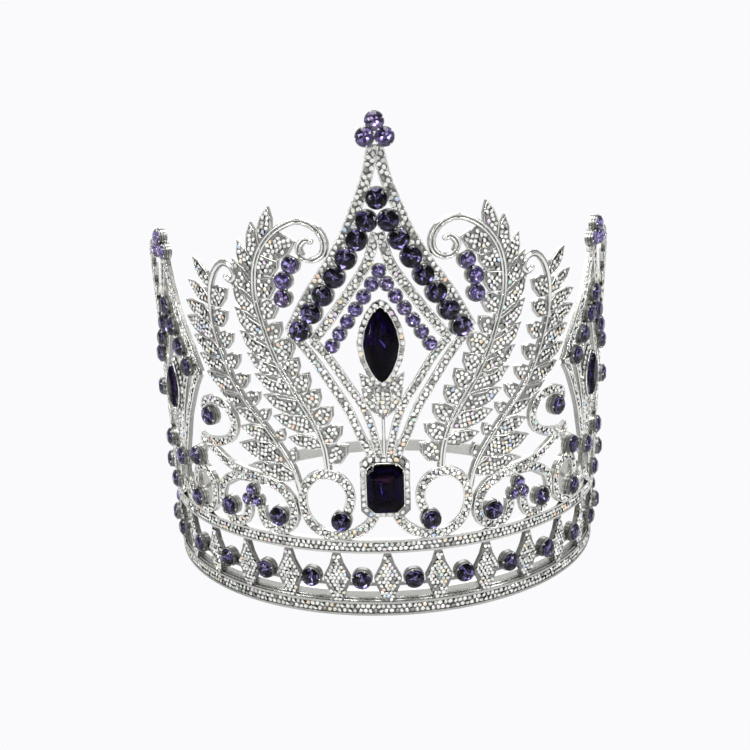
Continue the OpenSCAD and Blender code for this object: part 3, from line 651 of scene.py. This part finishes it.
side_marquise_cut = step_cut("side_marquise_cut", marquise(SIDE_MARQUISE_L), SIDE_STEPS,
                             MARQUISE_GIRDLE * SIDE_RISE / RISE)
print("facets:", {stone.name: len(stone.data.polygons) for stone in (octagon_cut, marquise_cut)})

# %% [markdown]
# Thousands of stones are set by geometry nodes. A cloud of bare points holds each seat's place, with its
# turn, its size and its own random number as attributes. The nodes put a copy of one template on every
# point and make the copies real. The modifier is then applied, so what is left is an ordinary mesh.

# %% Nodes that set a template in every seat
seating = bpy.data.node_groups.new("set_in_seats", "GeometryNodeTree")
seating.interface.new_socket("Seats", in_out="INPUT", socket_type="NodeSocketGeometry")
template_socket = seating.interface.new_socket("Template", in_out="INPUT", socket_type="NodeSocketObject")
seating.interface.new_socket("Stones", in_out="OUTPUT", socket_type="NodeSocketGeometry")
came_in = add(seating, "NodeGroupInput")
template_info = add(seating, "GeometryNodeObjectInfo", links={"Object": (came_in, "Template")})
seat_turn = add(seating, "GeometryNodeInputNamedAttribute", {"Name": "turn"}, data_type="FLOAT_VECTOR")
seat_size = add(seating, "GeometryNodeInputNamedAttribute", {"Name": "size"}, data_type="FLOAT")
rotation = add(seating, "FunctionNodeEulerToRotation", links={"Euler": (seat_turn, "Attribute")})
copies = add(seating, "GeometryNodeInstanceOnPoints",
             links={"Points": (came_in, "Seats"), "Instance": (template_info, "Geometry"),
                    "Rotation": (rotation, "Rotation"), "Scale": (seat_size, "Attribute")})
real = add(seating, "GeometryNodeRealizeInstances", links={"Geometry": (copies, "Instances")})
add(seating, "NodeGroupOutput", links={"Stones": (real, "Geometry")})
print("the seating tree has", len(seating.nodes), "nodes")

# %% Set pieces in their seats
chance = random.Random(23)


def set_pieces(name, template, seats):
    """One piece of many copies. A seat is (flat place, millimetres off the wall, size, spin)."""
    cloud = bpy.data.meshes.new(name)
    cloud.from_pydata([on_wall(place, out) for place, out, size, spin in seats], [], [])
    for attribute, kind in (("turn", "FLOAT_VECTOR"), ("size", "FLOAT"), ("tint", "FLOAT")):
        cloud.attributes.new(attribute, kind, "POINT")
    turns, sizes, tints = (cloud.attributes[attribute].data for attribute in ("turn", "size", "tint"))
    for i, (place, out, size, spin) in enumerate(seats):
        turns[i].vector = facing(place, spin)
        sizes[i].value = size
        tints[i].value = chance.random()
    piece = added(name, cloud)
    nodes = piece.modifiers.new("Seats", "NODES")
    nodes.node_group = seating
    nodes[template_socket.identifier] = template
    bpy.ops.object.modifier_apply(modifier=nodes.name)
    for left_over in ("turn", "size"):
        if left_over in piece.data.attributes:
            piece.data.attributes.remove(piece.data.attributes[left_over])
    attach(piece, "root")
    return piece


print("seats carry a turn, a size and a tint")

# %% [markdown]
# The violet stones stand in for the plain ones of the frame, each on its own cup. Every round stone is spun
# to a random angle, as stones are in a real setting, so that no two send back the same light.

# %% Set the violet stones
SEEN_D = 1.05           # share of its size that a stone is cut to, so that it lies on its collar's lip
for node, (places, diameter, look) in round_stones.items():
    seats = [(place, CUP_TOP, SEEN_D * diameter * MM, chance.uniform(0, math.tau)) for place in places]
    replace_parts(set_pieces(node + "_cut", brilliant[look], seats), node)

fancy_stones = [("octagon", octagon_cut, octagon, OCTAGON_L, octagon_at),
                ("centre_marquise", marquise_cut, marquise, MARQUISE_L, marquise_at)]
for side, hand in zip(SIDES, ("left", "right")):
    fancy_stones.append((hand + "_marquise", side_marquise_cut, marquise, SIDE_MARQUISE_L,
                         (side * SIDE_AT, SIDE_MARQUISE_Y)))
for name, template, shape, length, place in fancy_stones:
    node = name + "_stone"
    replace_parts(set_pieces(node + "_cut", template, [(place, CUP_TOP, 1.0, 0.0)]), node)
print("set", len(round_stones) + len(fancy_stones), "stones and fields of stones")

# %% [markdown]
# Clear crystals fill the bars in a zigzag of two rows, with a grain of metal in each bay, and small ones
# fill the gaps that it leaves. A crystal keeps its place only where nothing lies yet, so crossings and
# cups stay free. A grid of squares remembers what lies where, which keeps the search quick.

# %% Keep track of what lies where
CELL = 5.0              # a little over half the widest cup and half a crystal
CUP_EDGE = 0.35         # metal round a cup that crystals keep off
occupied = {}


def cell_of(place):
    """The square of the memory grid that a place is in."""
    return (math.floor(place[0] / CELL), math.floor(place[1] / CELL))


def claim(place, radius):
    """Notes that a round thing lies here."""
    occupied.setdefault(cell_of(place), []).append((place[0], place[1], radius))


def is_free(place, radius, slack=0.0):
    """Whether a round thing fits here, overlapping others by no more than slack."""
    cx, cy = cell_of(place)
    for i in (-1, 0, 1):
        for j in (-1, 0, 1):
            for x, y, r in occupied.get((cx + i, cy + j), ()):
                if math.hypot(place[0] - x, place[1] - y) < r + radius - slack:
                    return False
    return True


for place, diameter in all_cups:
    claim(place, diameter / 2 + CUP_EDGE)
print("the grid knows", sum(len(c) for c in occupied.values()), "cups")

# %% Walk along a line
def heading(a, b):
    """The distance from a to b, and its direction."""
    length = math.dist(a, b)
    return length, ((b[0] - a[0]) / length, (b[1] - a[1]) / length)


def off(place, direction, along, aside):
    """The place moved along a direction and aside to its left."""
    dx, dy = direction
    return (place[0] + dx * along - dy * aside, place[1] + dy * along + dx * aside)


def walk(line, step, start=0.0):
    """Even steps along a line: each is (place, direction)."""
    found, wanted, run = [], start, 0.0
    for a, b in zip(line, line[1:]):
        length, direction = heading(a, b)
        while wanted <= run + length:
            found.append((off(a, direction, wanted - run, 0.0), direction))
            wanted += step
        run += length
    return found


CRYSTAL_D = 1.75        # clear crystals of the bars
CRYSTAL_OUT = -0.02     # their foot, off the wall's face
RIM_W = 0.34            # width of a bar's polished edge
GRAIN_D = 0.62          # the grains of metal between crystals
GRAIN_OUT = 0.05        # their middle, off the wall's face
LEAST_STEP, TOUCH = 0.52, 1.02      # a zigzag's least step, and from crystal to crystal, in diameters
pave = {"spires": [], "scrolls": [], "fronds": [], "bands": [], "gallery": []}
grains = []


def seat_crystal(group, place, diameter, slack=0.12):
    """Seats one clear crystal if nothing lies there yet."""
    if not is_free(place, diameter / 2, slack):
        return False
    claim(place, diameter / 2)
    pave[group].append((place, CRYSTAL_OUT, diameter * MM, chance.uniform(0, math.tau)))
    return True


def zigzag(group, path, width, diameter):
    """Fills a bar with crystals in a zigzag, and a grain of metal in each bay."""
    room = width - 2 * RIM_W
    aside = max(0.0, (room - diameter) / 2)
    bay = room / 2 - GRAIN_D / 2
    step = max(LEAST_STEP * diameter, math.sqrt(max(0.0, (TOUCH * diameter) ** 2 - (2 * aside) ** 2)))
    hand = 1
    for place, direction in walk(smooth(path, 8), step, diameter * 0.6):
        hand = -hand
        if seat_crystal(group, off(place, direction, 0.0, hand * aside), diameter):
            grains.append((off(place, direction, 0.0, -hand * bay), GRAIN_OUT, GRAIN_D * MM, 0.0))


print("a crystal of", CRYSTAL_D, "mm fills a bar of", BAR_W, "mm in a zigzag")

# %% [markdown]
# Round the octagon and the marquises runs a border of larger crystals, like a string of beads. They are
# seated first, so that the bars make way for them.

# %% Bead borders
BORDER_AT = 1.35        # from the stone's edge to the middle of its border
BEAD_OUT = 0.2          # foot of a bead, off the wall's face
BEAD_SLACK = 0.35       # how far beads may overlap what lies there
BEAD_RADIUS, BEAD_D = 0.46, 0.93        # what a bead claims, and its size, as shares of the spacing
WIDE_SPACING, SIDE_SPACING = 2.3, 2.0
border_beads = []


def border(outline, middle, spacing):
    """Seats crystals evenly round a closed outline."""
    closed = outline + [outline[0]]
    around = sum(math.dist(a, b) for a, b in zip(closed, closed[1:]))
    for (x, y), direction in walk(closed, around / round(around / spacing)):
        place = (middle[0] + x, middle[1] + y)
        if is_free(place, spacing * BEAD_RADIUS, BEAD_SLACK):
            claim(place, spacing * BEAD_RADIUS)
            border_beads.append((place, BEAD_OUT, BEAD_D * spacing * MM, chance.uniform(0, math.tau)))


for name, template, shape, length, middle in fancy_stones:
    border(shape(length, BORDER_AT), middle,
           SIDE_SPACING if length == SIDE_MARQUISE_L else WIDE_SPACING)
print("set", len(border_beads), "border crystals")

# %% Fill the bars and scrolls
LOW_WORK = 90.0         # bars that end below this height go with the scrolls
NARROW_BAR, NARROW_D = 3.0, 1.6     # a bar up to this width takes crystals of this size
SMALL_CRYSTALS = (1.25, 0.95)       # for the gaps that a zigzag leaves beside cups and crossings


def fill_gaps(group, path, width, diameter):
    """Seats small crystals wherever a bar still has room for one."""
    reach = (width - 2 * RIM_W - diameter) / 2
    for place, direction in walk(smooth(path, 8), step=0.4):
        for aside in (-reach, 0.0, reach):
            seat_crystal(group, off(place, direction, 0.0, aside), diameter)


grouped_bars = [("spires" if max(y for x, y in path) > LOW_WORK else "scrolls", path, width)
                for path, width in bars]
for group, path, width in grouped_bars:
    zigzag(group, path, width, CRYSTAL_D if width > NARROW_BAR else NARROW_D)
for diameter in SMALL_CRYSTALS:
    for group, path, width in grouped_bars:
        fill_gaps(group, path, width, diameter)
print("the bars hold", len(pave["spires"]) + len(pave["scrolls"]), "crystals")

# %% [markdown]
# A leaf has a polished edge and is paved from its root to its tip. Its half width follows the same few
# shares as the cast leaf. Leaves on the inner side of a frond lie close, so each is drawn by its lower
# edge and its tip. Edges of fronds and all stems are noted in the grid before the paving, and so stay
# clear of crystals. The five leaves of a sprig lie over one another, and are paved up to their edges.

# %% Outline the leaves
LEAF_SHAPE = [(0, 0.2), (0.35, 0.5), (0.72, 0.36), (1, 0)]     # (share of the length, share of the width)
EDGE_R = 0.22           # of the wire along a leaf's edge


def half_width(shape, share):
    """Half a motif's width at a share of its length, from the shape's few (share, half width)."""
    for (a, wa), (b, wb) in zip(shape, shape[1:]):
        if share <= b:
            return wa + (wb - wa) * (share - a) / (b - a)
    return 0.0


def leaf_edge(root, tip, plump, inset=0.24):
    """The edge of a leaf, a little inside the cast one, from the lower side of its root round its tip."""
    length, direction = heading(root, tip)
    low = -1 if direction[0] > 0 else 1
    side = [(share * length, low * max(0.05, half * length * plump - inset))
            for share, half in LEAF_SHAPE[:-1]]
    upper = [(u, -v) for u, v in reversed(side)]
    if plump == INNER_PLUMP:
        upper = upper[:1]
    return [off(root, direction, u, v) for u, v in side + [(length - 2 * inset, 0.0)] + upper]


def claim_line(line, radius):
    """Notes a line of metal, so that crystals keep off it."""
    for a, b in zip(line, line[1:]):
        steps = max(1, round(math.dist(a, b) / 0.6))
        for i in range(steps):
            claim((a[0] + (b[0] - a[0]) * i / steps, a[1] + (b[1] - a[1]) * i / steps), radius)


leaf_edges = [leaf_edge(*leaf) for leaf in leaves]
for edge in leaf_edges:
    claim_line(edge, radius=EDGE_R - 0.08)
for path, grooved in stems:
    claim_line(smooth(path, 4), radius=STEM_W / 2 - 0.15)
sprig_stems = [[(0, SPIRE_FOOT + share * SPIRE_H) for share in (0.02, 0.08, 0.15)]]
for side in SIDES:
    sprig_stems.append([(side * SIDE_AT, SIDE_FOOT + share * SIDE_H) for share in (0.09, 0.12, 0.15)])
for stem in sprig_stems:
    claim_line(stem, radius=0.45)
print("outlined", len(leaf_edges), "leaves")

# %% Fill the leaves
LEAF_CRYSTAL_D = 1.62
LEAF_RIM = 0.42         # width of a leaf's polished edge


def pave_leaf(root, tip, plump, diameter=LEAF_CRYSTAL_D):
    """Paves one leaf in rows across it, of as many crystals as fit abreast."""
    length, direction = heading(root, tip)
    along = 0.08 * length + diameter / 2
    while along < length - diameter * 0.7:
        half = half_width(LEAF_SHAPE, along / length) * length * plump - LEAF_RIM
        abreast = max(1, int(2 * half / diameter + 0.12))
        size = diameter if 2 * half > diameter else max(1.0, 2 * half)
        for k in range(abreast):
            aside = (k - (abreast - 1) / 2) * diameter * 1.03
            seat_crystal("fronds", off(root, direction, along, aside), size, slack=0.2)
        along += size * 0.98


for root, tip, plump in leaves + sprig_leaves:
    pave_leaf(root, tip, plump)
print(len(leaves + sprig_leaves), "leaves hold", len(pave["fronds"]), "crystals")

# %% Fill the lozenges of the gallery
LOZENGE_W = 0.52 * GALLERY_H
LOZENGE_SHAPE = [(0, 0.16), (0.18, 0.3), (0.4, 0.48), (0.5, 0.5), (0.74, 0.25), (1, 0.1)]   # as a leaf's
LOZENGE_CRYSTAL_D = 1.62
ROW_STEP = 0.87 * LOZENGE_CRYSTAL_D
for k in range(-LOZENGES, LOZENGES + 1):
    middle = k * PITCH * MAP_RADIUS
    for row in range(1, int(GALLERY_H / ROW_STEP) + 1):
        height = (row - 0.4) * ROW_STEP
        half = half_width(LOZENGE_SHAPE, height / GALLERY_H) * LOZENGE_W - LOZENGE_CRYSTAL_D / 2 + 0.12
        for n in range(-4, 5):
            aside = (n + 0.5 * (row % 2)) * LOZENGE_CRYSTAL_D
            if abs(aside) <= max(half, 0.1):
                seat_crystal("gallery", (middle + aside, BAND_H + height), LOZENGE_CRYSTAL_D, slack=0.25)
print("the gallery holds", len(pave["gallery"]), "crystals")

# %% Fill the two bands
def pave_band(foot, height):
    """Two rows of crystals between the rims of a band, one row shifted by half a step."""
    step = 1.12 * CRYSTAL_D
    count = int(FRONT_ARC * MAP_RADIUS / step)
    for row, share in ((0, 0.335), (1, 0.665)):
        for n in range(-count, count):
            place = ((n + 0.5 + 0.5 * row) * step, foot + share * height)
            seat_crystal("bands", place, CRYSTAL_D, slack=0.4)


pave_band(0, BAND_H)
pave_band(RAIL_FOOT, RAIL_H)
print("the bands hold", len(pave["bands"]), "crystals")

# %% Set the clear crystals
for group, seats in pave.items():
    piece = set_pieces(group + "_clear_crystals", pave_cut, seats)
    print(piece.name, len(piece.data.polygons), "facets")
set_pieces("border_clear_crystals", pave_cut, border_beads)

# %% [markdown]
# A grain is the little ball of metal that a setter raises with a hollow punch to hold a stone. It is hardly
# wider than half a millimetre, so a sphere of a few faces is enough. The same sphere serves for claws and
# for the balls in the curls.

# %% Set the grains
bpy.ops.object.select_all(action="DESELECT")
bpy.ops.mesh.primitive_uv_sphere_add(segments=8, ring_count=6, radius=0.5)
grain = named("grain")
bpy.ops.object.shade_smooth()
grain.data.materials.append(buffed_rhodium)
free_grains = [seat for seat in grains if is_free(seat[0], GRAIN_D / 2, 0.16)]
set_pieces("setting_grains", grain, free_grains)
print("raised", len(free_grains), "grains")

# %% [markdown]
# Polished rims run along both edges of each bar. They are drawn as curves a little inside the edge, given
# a round section and turned into a mesh, half sunk in the wall.

# %% Rims and wires from curves
def draw_wires(name, lines, radius, out, closed=False):
    """One mesh piece of round wires. Each line is a list of flat places."""
    curve = bpy.data.curves.new(name, "CURVE")
    curve.dimensions = "3D"
    curve.bevel_depth = radius * MM
    curve.bevel_resolution = 1
    curve.use_fill_caps = True
    for line in lines:
        spline = curve.splines.new("POLY")
        spline.points.add(len(line) - 1)
        for point, place in zip(spline.points, line):
            point.co = (*on_wall(place, out), 1.0)
        spline.use_cyclic_u = closed
    wires = added(name, curve)
    bpy.ops.object.convert(target="MESH")
    bpy.ops.object.shade_smooth()
    wires.data.materials.append(buffed_rhodium)
    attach(wires, "root")
    return wires


RIM_R, RIM_INSET = 0.3, 0.2
rim_lines = []
for path, width in bars:
    line = smooth(path, 4)
    rim_lines += [beside(line, hand * (width / 2 - RIM_INSET)) for hand in SIDES]
rims = draw_wires("bar_rims", rim_lines, RIM_R, out=0.1)
print(rims.name, "has", len(rims.data.polygons), "faces")

# %% [markdown]
# The stems of the fronds carry no stones, and end in free curls with a small ball. The cast stem is flat.
# The inner fronds have a groove along it, so two fine wires are laid on its edges, and the outer ones a
# round wire.

# %% Stems and leaf edges
GROOVE = 0.62           # from the middle of a grooved stem to each of its wires
grooved_lines = [beside(smooth(path, 5), hand * GROOVE) for path, grooved in stems if grooved
                 for hand in SIDES]
round_lines = [smooth(path, 5) for path, grooved in stems if not grooved]
draw_wires("inner_frond_stems", grooved_lines, radius=0.48, out=0.02)
draw_wires("outer_frond_stems", round_lines, radius=0.85, out=-0.2)
CURL_BALL_D = 2.3
curl_ends = [(path[-1], -0.3, CURL_BALL_D * MM, 0.0) for path, grooved in stems]
set_pieces("curl_balls", grain, curl_ends)
draw_wires("sprig_stems", sprig_stems, radius=0.5, out=-0.05)
leaf_edges += [leaf_edge(*leaf) for leaf in sprig_leaves]
draw_wires("leaf_edges", leaf_edges, radius=EDGE_R, out=0.06)
print("drew", len(grooved_lines + round_lines), "stem wires and", len(leaf_edges), "leaf edges")

# %% [markdown]
# Two plain wires run along the foot of the gallery, behind the crystals of the lozenges. One lies on the
# lower band, and the other on the edge of the plain ring.

# %% Wires at the foot of the gallery
ARC_STEPS = 110         # from the middle of the wall to either end
for name, height, out in (("gallery_front_wire", BAND_H + 0.2, -0.55),
                          ("gallery_rear_wire", BAND_H + 0.75, -1.6)):
    line = [(FRONT_ARC * MAP_RADIUS * n / ARC_STEPS, height) for n in range(-ARC_STEPS, ARC_STEPS + 1)]
    print("laid", draw_wires(name, [line], radius=0.26, out=out).name)

# %% [markdown]
# Every round stone sits in a closed cup whose collar stands up round its girdle. The collar is a short
# tube, thickened inwards, and its lip is bevelled so that it doesn't look like cut card.

# %% Collars
COLLAR_W = 0.24         # thickness of a collar
COLLAR_SINK = 0.12      # how far its foot goes down into the cup's top


def make_collar(diameter):
    """The collar of one size of stone, at its real size in metres."""
    bpy.ops.object.select_all(action="DESELECT")
    outer = diameter / 2 + COLLAR_W
    height = GIRDLE * diameter
    bpy.ops.mesh.primitive_cylinder_add(vertices=24, radius=outer * MM, depth=height * MM,
                                        end_fill_type="NOTHING", location=(0, 0, height / 2 * MM))
    collar = named("collar")
    bpy.ops.object.transform_apply(location=True)
    wall = collar.modifiers.new("Wall", "SOLIDIFY")
    wall.thickness = COLLAR_W * MM
    wall.offset = -1
    lip = collar.modifiers.new("Lip", "BEVEL")
    lip.width = 0.07 * MM
    lip.segments = 1
    bpy.ops.object.modifier_apply(modifier="Wall")
    bpy.ops.object.modifier_apply(modifier="Lip")
    bpy.ops.object.shade_smooth_by_angle(angle=math.radians(40))
    # the collar's darker plate is painted shade
    collar.data.materials.append(shade_painted_rhodium)
    return collar


templates = [pave_cut, grain, octagon_cut, marquise_cut, side_marquise_cut, *brilliant.values()]
for diameter in sorted({d for place, d in all_cups}):
    collar = make_collar(diameter)
    templates.append(collar)
    seats = [(place, CUP_TOP - COLLAR_SINK, 1.0, 0.0) for place, d in all_cups if d == diameter]
    set_pieces(f"collars_{diameter:.1f}_mm", collar, seats)
    print(len(seats), "collars for stones of", diameter, "mm")

# %% [markdown]
# Four claws lean over each round stone from its collar. The octagon has a claw at each corner, and a
# marquise two beside each point.

# %% Claws
CLAW_D, BIG_CLAW_D = 0.7, 1.0
BESIDE_POINTS = (3, 5, 11, 13)      # points of the marquise outline
claw_seats = []
for place, diameter in all_cups:
    start = chance.uniform(0, math.tau)
    for k in range(4):
        turn = start + k * math.tau / 4
        reach = diameter / 2 + 0.1
        claw = (place[0] + reach * math.cos(turn), place[1] + reach * math.sin(turn))
        claw_seats.append((claw, CUP_TOP + GIRDLE * diameter + 0.12, CLAW_D * MM, turn))
for name, template, shape, length, middle in fancy_stones:
    outline = shape(length)
    corners = outline if shape is octagon else [outline[i] for i in BESIDE_POINTS]
    for x, y in corners:
        claw_seats.append(((middle[0] + x, middle[1] + y), CUP_TOP + 1.45, BIG_CLAW_D * MM, 0.0))
set_pieces("stone_claws", grain, claw_seats)
print("set", len(claw_seats), "claws")

# %% [markdown]
# The fancy stones have a collar too, drawn round their own outline.

# %% Collars of the fancy stones
for name, template, shape, length, middle in fancy_stones:
    line = [(middle[0] + x, middle[1] + y) for x, y in shape(length, 0.2)]
    draw_wires(name + "_collar", [line], radius=0.36, out=CUP_TOP + 0.35, closed=True)
print("drew", len(fancy_stones), "collars")

# %% Put the metal on the cast wall and clear away the templates
cast_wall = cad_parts["frame"]
cast_wall.data.materials.clear()
cast_wall.data.materials.append(cast_rhodium)
bpy.ops.object.select_all(action="DESELECT")
for template in templates:
    template.select_set(True)
bpy.ops.object.delete()

# %% [markdown]
# The crown stands on a pale light table, whose glow is set so that only the camera sees it: the picture
# gets its even white ground, and the metal still mirrors a grey table and a dark room. Bright metal and
# cut stones need something dark to mirror, or they go flat.

# %% Light table
WHITE = "#fafafc"


def camera_sees(tree, others, backdrop):
    """Shows the backdrop to the camera, and everything else meets the other shader."""
    path_kind = add(tree, "ShaderNodeLightPath")
    return add(tree, "ShaderNodeMixShader",
               links={"Fac": (path_kind, "Is Camera Ray"), 1: (others, 0), 2: (backdrop, 0)})


bpy.ops.object.select_all(action="DESELECT")
bpy.ops.mesh.primitive_plane_add(size=8, location=(0, 0, -0.0002))
table = named("light_table")
acrylic, acrylic_tree = new_material("opal_acrylic")
sheet = add(acrylic_tree, "ShaderNodeBsdfPrincipled", {"Base Color": colour("#d6d6d8"), "Roughness": 0.6})
glow = add(acrylic_tree, "ShaderNodeEmission", {"Color": colour(WHITE), "Strength": 1.0})
add(acrylic_tree, "ShaderNodeOutputMaterial",
    links={"Surface": (camera_sees(acrylic_tree, sheet, glow), "Shader")})
table.data.materials.append(acrylic)
print("the table carries", acrylic.name)

# %% Studio walls
world = bpy.data.worlds.new("studio")
bpy.context.scene.world = world
world.use_nodes = True
sky = world.node_tree
sky.nodes.clear()
direction = add(sky, "ShaderNodeTexCoord")
split = add(sky, "ShaderNodeSeparateXYZ", links={"Vector": (direction, "Generated")})
depth = add(sky, "ShaderNodeMapRange", {"From Min": -0.6, "From Max": 0.8, "To Min": 0.16, "To Max": 0.7},
            {"Value": (split, "Y")})
walls = add(sky, "ShaderNodeBackground", {"Color": colour("#f6f6f8")}, {"Strength": (depth, "Result")})
backdrop = add(sky, "ShaderNodeBackground", {"Color": colour(WHITE), "Strength": 1.0})
add(sky, "ShaderNodeOutputWorld", links={"Surface": (camera_sees(sky, walls, backdrop), "Shader")})
print("the studio is darkest towards the camera")

# %% Lights
CROWN_MIDDLE = Vector((0, 0, 0.08))


def soft_light(name, place, size, power):
    """A rectangular light that looks at the crown, of a size in metres and a power in watts."""
    data = bpy.data.lights.new(name, "AREA")
    data.shape = "RECTANGLE"
    data.size, data.size_y = size
    data.energy = power
    lamp = added(name, data)
    lamp.location = place
    lamp.rotation_euler = (CROWN_MIDDLE - Vector(place)).to_track_quat("-Z", "Y").to_euler()


soft_light("overhead", (0, -0.2, 1.1), (0.8, 0.8), 10)
soft_light("left_strip", (-0.9, -0.7, 0.6), (0.12, 0.9), 4)
soft_light("right_strip", (0.9, -0.6, 0.6), (0.12, 0.9), 3.6)
soft_light("back_fill", (0, 1.1, 0.7), (1.2, 0.5), 4)
soft_light("sparkle_1", (-0.35, -1.0, 0.75), (0.05, 0.05), 0.9)
soft_light("sparkle_2", (0.45, -1.0, 0.5), (0.05, 0.05), 0.8)
soft_light("sparkle_3", (0.02, -1.0, 0.7), (0.04, 0.04), 0.7)
print("four soft lights and three sparkle lights")

# %% Camera
CAMERA_PLACE = Vector((0.36, -437.5, 183.7)) * MM + Vector((0, axis_y, 0))
CAMERA_YAW, CAMERA_PITCH, CAMERA_ROLL = 0.0079, -0.2586, 0.0326       # radians
FOCAL_PIXELS, FRAME_PIXELS, FILM_MM = 1037, 750, 36
camera_data = bpy.data.cameras.new("camera")
camera_data.sensor_width = FILM_MM
camera_data.lens = FILM_MM * FOCAL_PIXELS / FRAME_PIXELS
camera_data.clip_start = 0.01
camera = added("camera", camera_data)
turns = [Matrix.Rotation(angle, 4, axis) for angle, axis in
         ((CAMERA_YAW, "Z"), (CAMERA_PITCH, "X"), (CAMERA_ROLL, "Y"))]
look = turns[0] @ turns[1] @ turns[2]
camera.matrix_world = Matrix.Translation(CAMERA_PLACE) @ look @ Matrix.Rotation(math.pi / 2, 4, "X")
bpy.context.scene.camera = camera
bpy.context.scene.view_settings.view_transform = "Standard"
print("the lens is", round(camera_data.lens, 1), "mm")
